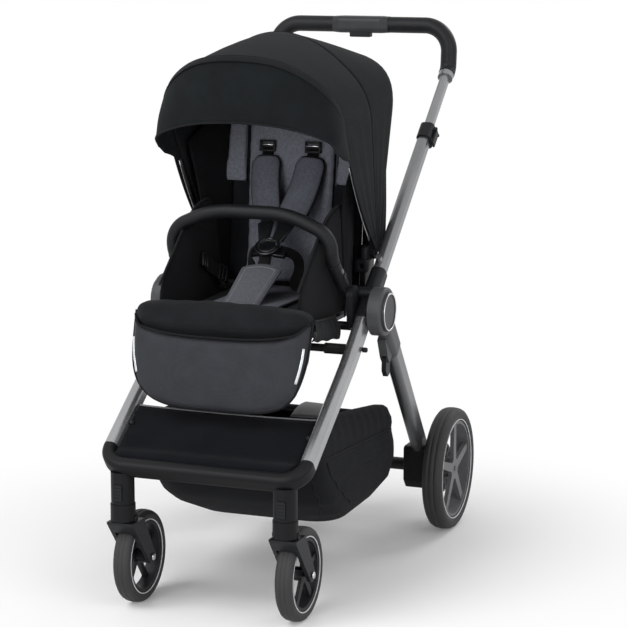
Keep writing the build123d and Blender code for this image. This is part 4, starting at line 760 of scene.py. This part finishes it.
# side gussets: loose cloth from the backrest's edge to the side panel and up into the hood
gusset = {"edge": 0.139, "low": -0.004, "high": 0.40, "fold": 0.0045,
          "front": [(0.1526, -0.075, 0.549), (0.1526, -0.088, 0.70), (0.1545, -0.105, 0.790), (0.1862, -0.098, 0.905)]}
for side, word in sides:
    rows = []
    for k, front in enumerate(roundedLine(onSide(gusset["front"], side), 0.05, 21)):
        t = k / 20
        rear = backPoint(gusset["edge"] * side, gusset["low"] + (gusset["high"] - gusset["low"]) * t, 0.010)
        row = []
        for j in range(15):
            u = j / 14
            p = rear.lerp(front, u)
            swell = 0.012 * sin(pi * u) ** 1.5 * max(0.0, 1 - abs(t - 0.62) / 0.5)
            wave = 0.4 + 0.6 * sin(2.6 * pi * u + 2.4 * t)
            p.x += side * (swell + gusset["fold"] * sin(pi * u) * wave * (0.3 + t))
            row.append(p)
        rows.append(row)
    piece = place(sheetMesh(rows), f"sideGusset{word}", liningCloth, None, ["back_wings"] if side > 0 else (),
                  0.0014, 0.0)
    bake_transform(piece)
print("backrest padded")

# leg rest pad
legPad = {"half": 0.188, "back": -0.3842, "front": -0.4000, "low": 0.4105, "high": 0.556, "corner": 0.075,
          "lift": 0.020,
          "outline": [(-0.188, 0.556), (-0.184, 0.474), (-0.132, 0.4105), (0.132, 0.4105), (0.184, 0.474),
                      (0.188, 0.556)],
          "top": [(0.188, 0.547), (0.188, 0.556), (0.176, 0.556), (-0.176, 0.556), (-0.188, 0.556), (-0.188, 0.547)],
          "tape": [(0.1795, -0.5, 0.544), (0.1775, -0.5, 0.512), (0.168, -0.5, 0.476)],
          "fixed": (0, -0.39, 0.562), "free": (0, -0.39, 0.525)}


def legLift(p):
    high = max(0.0, (p.z - 0.45) / 0.095)
    out = abs(p.x / legPad["half"])
    wrap = max(0.0, (out - 0.88) / 0.12) ** 1.5
    return Vector((0, (0.006 * out ** 4 + 0.032 * wrap) * high, (legPad["lift"] * out ** 3 + 0.012 * wrap) * high))


padEdge = [(x, legPad["back"], z) for x, z in legPad["outline"][1:-1] + legPad["top"]]
loop = roundedLine(padEdge, legPad["corner"], 120, True)
legMesh = puff(slabMesh(loop, (0, legPad["front"] - legPad["back"] + 0.004, 0)), "legPad", 0.0045, 4.0, 0.006)
widest = max(abs(v.co.x) for v in legMesh.verts)
lowest, highest = min(v.co.z for v in legMesh.verts), max(v.co.z for v in legMesh.verts)
for v in legMesh.verts:
    v.co.x *= (legPad["half"] + 0.001) / widest
    v.co.z = legPad["low"] - 0.001 + (v.co.z - lowest) * (legPad["high"] - legPad["low"] + 0.001) / (highest - lowest)
    drop = legPad["high"] - v.co.z
    if v.co.y < -0.39:
        swell = max(0.0, 1 - (v.co.x / 0.17) ** 2) * max(0.0, 1 - ((v.co.z - 0.48) / 0.07) ** 2)
        v.co.y -= 0.004 * swell
        if drop < 0.05:
            v.co.y += 0.0012 * sin(v.co.x * 420) * (1 - drop / 0.05)
    v.co += legLift(v.co)
padSurface = BVHTree.FromBMesh(smoothTwice(legMesh))
legPieces = [place(legMesh, "legRestPad", legRestCloth, None, ["leg_rest_pad"], level=1)]
edge = roundedLine([(x, -0.3935, z) for x, z in legPad["outline"]], legPad["corner"], 61)
legPieces.append(tube("legRestPiping", [p + legLift(p) for p in edge], 0.0028, pipingCloth, None))
topSeam = [Vector((0.184 * (k / 20 - 1), -0.3985, 0.5555)) for k in range(41)]
legPieces.append(tube("legRestSeam", [p + legLift(p) for p in topSeam], 0.0022, pipingCloth, None))
for side, word in sides:
    strip = [padSurface.ray_cast(p, Vector((0, 1, 0)))[0] + Vector((0.0005 * side, -0.0007, 0))
             for p in roundedLine(onSide(legPad["tape"], side), 0.02, 14)]
    facing = Vector((0.35 * side, -1, 0))
    legPieces.append(strap(f"legRestTape{word}", strip, 0.0052, 0.0012, reflectiveTape, None, facing))
for piece in legPieces:
    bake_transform(piece)
boardEdge = [(x * 0.95, -0.3785, 0.4155 + (z - legPad["low"]) * 0.81) for x, z in legPad["outline"]]
board = joinMeshes([slabMesh(roundedLine(boardEdge, 0.08, 90, True), (0, -0.005, 0)),
                    rod((-0.158, -0.381, 0.541), (0.158, -0.381, 0.541), 0.006)])
place(board, "legRestBoard", blackPlastic, "leg_rest", ["leg_rest_frame"], bevel=0.0008)
print("leg rest padded")

# gathered skirt from the roll's end back along the seat's side
skirt = {"top": [(0.186, -0.342, 0.590), (0.173, -0.300, 0.581), (0.163, -0.225, 0.571), (0.1565, -0.141, 0.563)],
         "foot": [(0.184, -0.348, 0.551), (0.176, -0.300, 0.542), (0.170, -0.225, 0.530), (0.1660, -0.141, 0.519)],
         "gather": 0.0005, "bulge": 0.006,
         "snap": [(0, 0.002), (0.0062, 0.002), (0.006, 0.0055), (0.004, 0.0076), (0, 0.008)]}
for side, word in sides:
    topLine, footLine = [roundedLine(onSide(skirt[key], side), 0.03, 61) for key in ("top", "foot")]
    rows = []
    for k in range(9):
        t = k / 8
        row = []
        for j, (p, q) in enumerate(zip(topLine, footLine)):
            gather = skirt["gather"] * (sin(j * 0.85) + 0.7 * sin(j * 1.43 + 1)) * (1 - 0.6 * t)
            bulge = skirt["bulge"] * sin(pi * t)
            row.append(p.lerp(q, t) + Vector((side * (bulge + gather), 0, 0.0014 * sin(j * 0.31) * t)))
        rows.append(row)
    place(sheetMesh(rows), f"seatSkirt{word}", bodyCloth, "chassis", (), 0.0016, 0.0)
    piping = [p + Vector((side * 0.001, 0, 0.001)) for p in topLine[::3]]
    tube(f"seatSkirtPiping{word}", piping, 0.0026, pipingCloth, "chassis")
    snap = knob((0.186 * side, -0.349, 0.566), (side, -0.25, 0), skirt["snap"])
    place(snap, f"seatSkirtSnap{word}", blackPlastic, "chassis")
print("skirt gathered")

# basket
apron = {"half": 0.1925, "top": (-0.3346, 0.392), "foot": (-0.4660, 0.3027)}
legUp = Vector((0, 0.827, 0.562))
legOut = Vector((0, -0.562, 0.827))
tub = {
    # height, half width, front, back, corner
    "rows": [(0.128, 0.158, -0.150, 0.145, 0.072), (0.162, 0.183, -0.225, 0.190, 0.082),
             (0.200, 0.187, -0.285, 0.207, 0.088), (0.245, 0.188, -0.343, 0.212, 0.094),
             (0.330, 0.184, -0.402, 0.200, 0.100)],
    "around": 128, "wall": 0.0018, "slope": 0.125, "dip": 0.03, "top": 0.386, "middle": -0.08, "band": 3.4,
    "ripple": 1.96, "inset": 0.016,
    "rim": [(0.0030, 0.0065), (0.0095, 0.0112), (0.0180, 0.0120), (0.0255, 0.0085), (0.0290, 0.0010)],
    "stud": [(0, 0.009), (0.003, 0.0088), (0.0055, 0.0065), (0.006, 0.003), (0.006, 0), (0, 0)],
}
flap = {"near": [(0.130, -0.327, 0.3935), (0.186, -0.322, 0.3935)],
        "far": [(0.102, -0.165, 0.386), (0.168, -0.150, 0.380)]}


def tubLoop(z, half, front, back, corner):
    corners = [(-half, front, z), (half, front, z), (half, back, z), (-half, back, z)]
    return roundedLine(corners, corner, tub["around"], True)


def tubOut(p):
    return Vector((p.x, p.y - tub["middle"], 0)).normalized()


def tubRow(level):
    specs = tub["rows"]
    at = min(len(specs) - 2, int(level))
    row = [p.lerp(q, level - at) for p, q in zip(tubLoop(*specs[at]), tubLoop(*specs[at + 1]))]
    lift = max(0.0, (level - 2) / 2)
    over = level - tub["band"]
    for j, p in enumerate(row):
        p.z = min(tub["top"], p.z - tub["slope"] * (p.y - 0.03) * lift ** 1.5)
        p.z -= tub["dip"] * lift ** 2 * max(0.0, (p.y - 0.06) / 0.14) ** 2
        out = tubOut(p)
        if over > 0:
            p += out * 0.0016 * sin(j * tub["ripple"]) * min(1.0, over * 4)
            p += out * 0.005 * sin(pi * over / 0.6)
        elif 1 < level < tub["band"]:
            p += out * 0.004 * sin(pi * (level - 1) / 2.4)
        ahead = (p - Vector((p.x, *apron["top"]))).dot(legOut) + 0.005
        if ahead > 0:
            p -= legOut * ahead
    return row


def rimRow(inward, up):
    row = []
    for j, p in enumerate(tubRow(4)):
        back = clamp((p.y + 0.30) / 0.10)
        row.append(p - tubOut(p) * (inward + 0.0012 * sin(j * tub["ripple"])) + Vector((0, 0, up * back)))
    return row


def onTub(level, y, side):
    at = min((p for p in tubRow(level) if p.x * side > 0.1), key=lambda p: abs(p.y - y))
    return at + Vector((side * 0.0008, 0, 0))


bm = sheetMesh([tubRow(k / 5) for k in range(21)] + [rimRow(*spec) for spec in tub["rim"]], True)
lowest = min(v.co.z for v in bm.verts)
floorEdges = [e for e in bm.edges if all(abs(v.co.z - lowest) < 1e-6 for v in e.verts)]
bottom = bmesh.ops.contextual_create(bm, geom=floorEdges)["faces"]
for k in range(3):
    bmesh.ops.inset_region(bm, faces=bottom, thickness=tub["inset"], depth=0.0)
basketPiece = place(bm, "basketTub", basketCloth, "chassis", ["basket"], tub["wall"], -1.0)
tube("basketHem", rimRow(*tub["rim"][-1])[::2], 0.0024, pipingCloth, "chassis", True)
bandSeam = [p + tubOut(p) * 0.001 for p in tubRow(3.38)[::2]]
tube("basketBandSeam", bandSeam, 0.0014, pipingCloth, "chassis", True)

apronRows = []
for k in range(15):
    t = k / 14
    base = Vector((0, *apron["top"])).lerp(Vector((0, *apron["foot"])), t)
    half = apron["half"] - 0.012 * max(0.0, t - 0.75) * 4
    tuck = 0.0165 * clamp((t - 0.72) / 0.16) - 0.006 * max(0.0, (t - 0.9) / 0.1) ** 2
    row = []
    for j in range(33):
        u = j / 16 - 1
        sag = 0.006 * sin(pi * min(1, t * 1.1)) * (1 - u * u)
        crease = 0.0012 * sin(9 * u + 7 * t) * sin(pi * t)
        dip = legUp * 0.004 * (1 - u * u) * (1 - t)
        row.append(base + Vector((half * u, 0, 0)) + legOut * (sag + tuck + crease) - dip)
    apronRows.append(row)
apronPiece = place(sheetMesh(apronRows), "basketApron", apronCloth, "chassis", (), 0.0018, 0.0)
tube("apronPiping", apronRows[0], 0.0022, paleBinding, "chassis")
rows = []
for k in range(7):
    near, far = [Vector(flap[key][0]).lerp(Vector(flap[key][1]), k / 6) for key in ("near", "far")]
    rows.append([near.lerp(far, j / 8) + Vector((0, 0, 0.006 * sin(pi * j / 8))) for j in range(9)])
flapPiece = place(sheetMesh(rows), "basketFlap", flapTape, "chassis", (), 0.0014, 0.0)
for side, word in sides:
    for name, far in (("Front", (-0.330, -0.215)), ("Rear", (-0.270, -0.115))):
        ends = [(3.3 - 2.2 * k / 12, far[0] + (far[1] - far[0]) * k / 12) for k in range(13)]
        tube(f"basketSeam{name}{word}", [onTub(level, y, side) for level, y in ends], 0.0012, pipingCloth, "chassis")
    stud = knob((0.1935 * side, -0.379, 0.366), (-side, 0, 0), tub["stud"])
    place(stud, f"basketStud{word}", blackPlastic, "chassis")
print("basket hung")

# harness
harness = {
    "web": 0.025, "thick": 0.0024, "padHalf": 0.0285, "padThick": 0.009, "padEnds": 0.75, "shoulderX": 0.051,
    "crotch": [(0, -0.275, 0.594), (0, -0.252, 0.603), (0, -0.142, 0.6565)],
    "lap": [(0.026, -0.113, 0.688), (0.052, -0.086, 0.676), (0.054, -0.070, 0.642), (0.046, -0.100, 0.612),
            (0.078, -0.080, 0.6015), (0.1405, -0.034, 0.599)],
    "waist": [(-0.112, -0.024, 0.6005), (-0.128, -0.060, 0.622), (-0.1345, -0.098, 0.643), (-0.137, -0.132, 0.660)],
}
buckleFace = Vector((0, -0.5573, 0.8303))
buckleAt = Vector((0, -0.116, 0.690))


def padOn(points, normal, width, crown):
    rows, ends = [], harness["padEnds"]
    for i, p in enumerate(points):
        ahead, across = wayAt(points, i, normal)
        out = across.cross(ahead).normalized()
        if out.dot(normal) < 0:
            out = -out
        ease = min(1.0, ends + (1 - ends) * min(i, len(points) - 1 - i) / 2)
        rows.append([p + across * width * ease * (k / 8 - 0.5) + out * crown * (1 - abs(k / 4 - 1) ** 2.4)
                     for k in range(9)])
    return rows


def buckleFrame(centre, across, along, wide, tall, thick, bar):
    normal = across.cross(along).normalized()
    turn = Matrix((across, along, normal)).transposed().to_4x4()
    bars = [boxMesh((wide, bar, thick), (0, off * (tall - bar), 0)) for off in (-0.5, 0, 0.5)]
    bars += [boxMesh((bar, tall, thick), (off * (wide - bar), 0, 0)) for off in (-0.5, 0.5)]
    bm = joinMeshes([bevelAll(b, thick * 0.2, 2) for b in bars])
    bmesh.ops.transform(bm, matrix=Matrix.Translation(centre) @ turn, verts=bm.verts)
    return bm


def tongueMesh(foot, tip, normal, wide, narrow, thick):
    ahead = tip - foot
    across = ahead.cross(normal).normalized()
    bm = boxMesh((1, 1, 1))
    for v in bm.verts:
        half = (wide if v.co.y < 0 else narrow) * v.co.x
        v.co = foot + ahead * (v.co.y + 0.5) + across * half + normal * thick * v.co.z
    bmesh.ops.recalc_face_normals(bm, faces=bm.faces)
    return bevelAll(bm, 0.0028)


for side, word in sides:
    at = harness["shoulderX"] * side
    corners = [backPoint(at, 0.333, 0.0285), backPoint(at, 0.300, 0.0345), backPoint(0.047 * side, 0.240, 0.054),
               Vector((0.031 * side, -0.040, 0.762)), Vector((0.015 * side, -0.0985, 0.7065))]
    line = roundedLine(corners, 0.04, 70)
    strap(f"shoulderWeb{word}", line, harness["web"], harness["thick"], strapWebbing, "backrest", leanFront)
    padLine = spread([p + leanFront * 0.002 for p in line if 0.166 < (p - recline).dot(leanUp) < 0.291], 24)
    rows = padOn(padLine, leanFront, harness["padHalf"] * 2, 0.009)
    padPiece = place(sheetMesh(rows), f"shoulderPad{word}", padMelange, "backrest",
                     ["shoulder_pads", "shoulder_webbing"] if side > 0 else (), harness["padThick"], 0.0, level=1)
    rim = [r[0] for r in rows] + rows[-1][1:-1] + [r[-1] for r in rows[::-1]] + rows[0][-2:0:-1]
    tube(f"shoulderPadBinding{word}", rim, 0.0046, pipingCloth, "backrest", True)
    slider = buckleFrame(backPoint(at, 0.314, 0.0385), Vector((1, 0, 0)), leanUp, 0.036, 0.024, 0.006, 0.0048)
    place(slider, f"shoulderSlider{word}", blackPlastic, "backrest")
    sliderBar = rod(backPoint(at - 0.0145, 0.3165, 0.0425), backPoint(at + 0.0145, 0.3165, 0.0425), 0.0018, 12)
    place(sliderBar, f"shoulderSliderBar{word}", steelBolt, "backrest")
    foot, tip = Vector((0.013 * side, -0.1065, 0.703)), Vector((0.024 * side, -0.066, 0.738))
    tongue = tongueMesh(foot, tip, (leanFront + buckleFace).normalized(), 0.022, 0.036, 0.0075)
    place(tongue, f"shoulderTongue{word}", glossPlastic, "backrest")

crotchLine = roundedLine(harness["crotch"], 0.03, 16)
crotchUp = (crotchLine[-1] - crotchLine[-3]).normalized()
rows = []
for i, p in enumerate(crotchLine):
    half = 0.036 + 0.005 * (i / 15) ** 1.5
    bow = 0.010 * (i / 15) ** 2
    row = []
    for k in range(11):
        u = k / 5 - 1
        row.append(p + Vector((half * u, 0, 0)) - crotchUp * bow * u ** 2 + buckleFace * 0.004 * (1 - u ** 2))
    rows.append(row)
crotchPiece = place(sheetMesh(rows), "crotchPad", crotchMelange, "chassis", ["lap_harness"], 0.007, 0.0, level=1)
hem = [r[1] for r in rows[:15]] + rows[14][2:-2] + [r[-2] for r in rows[14::-1]]
tube("crotchStitch", [p + buckleFace * 0.0036 for p in hem], 0.0007, stitchThread, "chassis")
rim = [r[0] for r in rows] + rows[-1][1:-1] + [r[-1] for r in rows[::-1]]
tube("crotchEdge", rim, 0.0034, crotchMelange, "chassis")
crotchWeb = [crotchLine[-2] - buckleFace * 0.002, crotchLine[-1] - buckleFace * 0.001,
             buckleAt + Vector((0, -0.012, -0.011))]
strap("crotchWeb", crotchWeb, 0.026, 0.0026, strapWebbing, "chassis", buckleFace)
for side, word in sides:
    facing = Vector((0.35 * side, -0.8, 0.48))
    line = roundedLine(onSide(harness["lap"], side), 0.028, 60)
    strap(f"lapStrap{word}", line, harness["web"] * 0.84, harness["thick"], strapWebbing, "chassis", facing)
    ahead = (line[45] - line[41]).normalized()
    across = ahead.cross(Vector((0, -0.3, 0.95))).normalized()
    slider = buckleFrame(line[43] + Vector((0, -0.001, 0.0025)), across, ahead, 0.033, 0.024, 0.005, 0.0045)
    place(slider, f"lapSlider{word}", glossPlastic, "chassis")
    wing = Vector((0.92 * side, 0.1, -0.28)).normalized()
    tongue = tongueMesh(buckleAt + wing * 0.014, buckleAt + wing * 0.040, buckleFace, 0.030, 0.019, 0.0095)
    place(tongue, f"lapTongue{word}", glossPlastic, "chassis")
loose = [Vector(p) for p in harness["waist"]]
inward = Vector((0.8, -0.45, 0.4))
strap("waistStrap", loose, 0.030, 0.0026, strapWebbing, "chassis", inward)
for name, at, wide in (("waistSlider", 1, 0.038), ("waistHook", 3, 0.032)):
    ahead = (loose[at] - loose[at - 1]).normalized()
    across = ahead.cross(inward).normalized()
    hook = buckleFrame(loose[at] + inward * 0.003, across, ahead, wide, 0.026, 0.006, 0.005)
    place(hook, name, glossPlastic, "chassis")
rings = [ringMesh(buckleAt + buckleFace * out, radius, thick, buckleFace, 64)
         for out, radius, thick in ((0.0068, 0.0238, 0.0036), (0.0084, 0.0163, 0.0016))]
place(joinMeshes(rings), "buckleRings", glossPlastic, "chassis")
place(ringMesh(buckleAt + buckleFace * 0.0094, 0.0188, 0.0007, buckleFace, 64), "buckleLine", consolePlastic, "chassis")
print("harness threaded")

# small metal and trim
trim = {
    "hub": (0.2592, -0.095, 0.571), "capRing": 0.0375, "casterX": 0.1724, "armX": 0.173, "armZ": 0.650,
    "bolt": [(0, 0.0042), (0.003, 0.0042), (0.0036, 0.0034), (0.0062, 0.003), (0.0072, 0.0018), (0.0072, 0), (0, 0)],
    "pin": [(0, 0.0006), (0.0034, 0.0006), (0.0038, 0.002), (0.0062, 0.0024), (0.0072, 0.0012), (0.0072, 0), (0, 0)],
    "oval": [(0, 0.0016), (0.0036, 0.0014), (0.0044, 0.0006), (0.0046, -0.003), (0, -0.003)],
    "stud": [(0, 0.010), (0.0042, 0.0096), (0.0052, 0.008), (0.0052, 0), (0, 0)],
    "arm": [(-0.020, 0.604), (0.034, 0.604), (0.046, 0.690), (-0.012, 0.690)],
    "socket": [(0.005, 0), (0.013, 0), (0.013, 0.034), (0.005, 0.034), (0.005, 0)],
}


def twoCaps(side, out, y, z, profile, steps):
    x = trim["casterX"] * side
    return joinMeshes([knob((x + off * out, y, z), (off, 0, 0), profile, steps) for off in (1, -1)])


for side, title in sides:
    word = title.lower()
    x, y, z = trim["hub"]
    place(ringMesh((x * side, y, z), trim["capRing"], 0.0016, flat=0.5), f"capRing{title}", capRing, "rear_frame")
    place(twoCaps(side, 0.0295, -0.388, 0.094, trim["bolt"], 18), f"axleBolt{title}", steelBolt, f"fork_{word}")
    place(twoCaps(side, 0.0252, -0.456, 0.192, trim["pin"], 24), f"forkPinCap{title}", blackPlastic, f"caster_{word}")
for side, word in sides:
    armWay = Vector((0, -0.719, 0.694))
    seam = ringMesh((0.172 * side, -0.1972, 0.6825), 0.0138, 0.0011, armWay, 48)
    place(seam, f"bumperSeam{word}", framePlastic, "bumper")
    oval = knob((0, 0, 0), (1, 0, 0), trim["oval"], 28)
    bmesh.ops.scale(oval, vec=Vector((side, 1, 1.7)), verts=oval.verts)
    bmesh.ops.rotate(oval, cent=Vector(), matrix=Matrix.Rotation(radians(46), 3, "X"), verts=oval.verts)
    bmesh.ops.translate(oval, vec=Vector((0.1858 * side, -0.1775, 0.6635)), verts=oval.verts)
    place(oval, f"bumperOval{word}", rimPlastic, "bumper")
    place(knob((0.2215 * side, -0.156, 0.5015), (side, 0, 0), trim["stud"]), f"legStud{word}", blackPlastic, "chassis")
    armLoop = roundedLine([(0.166 * side, y, z) for y, z in trim["arm"]], 0.008, 40, True)
    place(slabMesh(armLoop, (0.012 * side, 0, 0)), f"backrestArm{word}", blackPlastic, "backrest", bevel=0.0018)
    x, z = trim["armX"] * side, trim["armZ"]
    socket = turned([(x, -0.030 + d, z + r) for r, d in trim["socket"]], (x, 0, z), (0, 1, 0), 32)
    for v in socket.verts:
        out = Vector((v.co.x - x, v.co.z - z))
        if out.length > 0.009:
            out *= 0.0125 / max(abs(out.x), abs(out.y))
            v.co.x, v.co.z = x + out.x, z + out.y
    place(socket, f"armSocket{word}", blackPlastic, "backrest", bevel=0.0008)
print("trim set")

# the front legs take the lighter copy of the tube paint as painted light, the rear legs the darker copy as painted
# shade
for finish, nodes in (
    (litLegTube, "front_legs"), (gunmetal, "upper_tubes"), (rearTubeShaded, "rear_legs"), (sliderTube, "inner_tubes"),
    (framePlastic, "front_bar axle_housings caster_head_left caster_head_right"),
    (darkPlastic, "leg_hubs handle_hubs seat_adapters collars fold_trigger front_rim_left front_rim_right"),
    (darkPlastic, "brake_pedal fold_latch caster_fork_left caster_fork_right"),
    (blackPlastic, "seat_frame collar_lever_left collar_lever_right lock_button_left lock_button_right"),
    (blackPlastic, "bumper_button_left bumper_button_right"), (glossPlastic, "buckle_body buckle_button"),
    (hubPlastic, "rear_hubs"), (consolePlastic, "hub_caps handle_console"), (blackSteel, "cross_brace axle_bar"),
    (rimPlastic, "rear_rim_left rear_rim_right"), (steelBolt, "brake_pin_left brake_pin_right"),
    (gripCover, "handle_grips"), (barCover, "bumper_bar"), (bodyCloth, "backrest_shell"),
    (pipingCloth, "canopy_mid_bow canopy_front_bow"),
):
    for node in nodes.split():
        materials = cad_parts[node].data.materials
        materials.clear()
        materials.append(finish)
print("solids dressed")

# floor and light
studio = {"floor": 12.0, "sky": 0.36, "whiteFrom": 0.25, "whiteAt": 1.1}
bm = bmesh.new()
bmesh.ops.create_grid(bm, x_segments=2, y_segments=2, size=studio["floor"])
floor = linked("studioFloor", meshOf(bm, "studioFloor"))
floorFinish = newFinish("studioFloor", (0.96, 0.96, 0.96), 0.9)
floor.data.materials.append(floorFinish)


def seenDirectly(owner):
    path = addNode(owner, "ShaderNodeLightPath")
    total = path.outputs["Is Camera Ray"]
    for name in ("Is Glossy Ray", "Is Transmission Ray"):
        total = mathOn(owner, "MAXIMUM", total, path.outputs[name])
    return total


def whiteWhere(owner, factor, shader, white, output):
    white.inputs["Color"].default_value = (1, 1, 1, 1)
    mix = addNode(owner, "ShaderNodeMixShader")
    for source, socket in zip((factor, shader.outputs[0], white.outputs[0]), mix.inputs):
        wire(owner, source, socket)
    wire(owner, mix.outputs[0], output.inputs["Surface"])


world = bpy.data.worlds.new("studio")
world.use_nodes = True
bpy.context.scene.world = world
nodes = world.node_tree.nodes
nodes["Background"].inputs["Color"].default_value = (1, 1, 1, 1)
nodes["Background"].inputs["Strength"].default_value = studio["sky"]
whiteWhere(world, seenDirectly(world), nodes["Background"], addNode(world, "ShaderNodeBackground"),
           nodes["World Output"])
away = addNode(floorFinish, "ShaderNodeVectorMath", operation="LENGTH")
wire(floorFinish, objectCoords(floorFinish), away.inputs[0])
fade = addNode(floorFinish, "ShaderNodeMapRange", interpolation_type="SMOOTHSTEP")
fade.inputs["From Min"].default_value, fade.inputs["From Max"].default_value = studio["whiteFrom"], studio["whiteAt"]
wire(floorFinish, away.outputs["Value"], fade.inputs["Value"])
nodes = floorFinish.node_tree.nodes
whiteWhere(floorFinish, times(floorFinish, fade.outputs["Result"], seenDirectly(floorFinish)), nodes["Principled BSDF"],
           addNode(floorFinish, "ShaderNodeEmission"), nodes["Material Output"])
for name, size, power, eye, target in (
    ("keyLamp", 2.6, 95.0, (-1.6, -2.6, 3.4), (0, 0, 0.5)),
    ("frontLamp", 2.0, 60.0, (-0.3, -4.2, 1.5), (0, 0, 0.7)),
    ("fillLamp", 3.0, 48.0, (3.2, -1.8, 1.8), (0, 0, 0.5)),
    ("rimLamp", 2.0, 36.0, (1.4, 3.0, 2.8), (0, 0, 0.6)),
):
    lamp = bpy.data.lights.new(name, "AREA")
    lamp.shape, lamp.size, lamp.energy = "DISK", size, power
    aim(linked(name, lamp), eye, target)
print("studio lit")
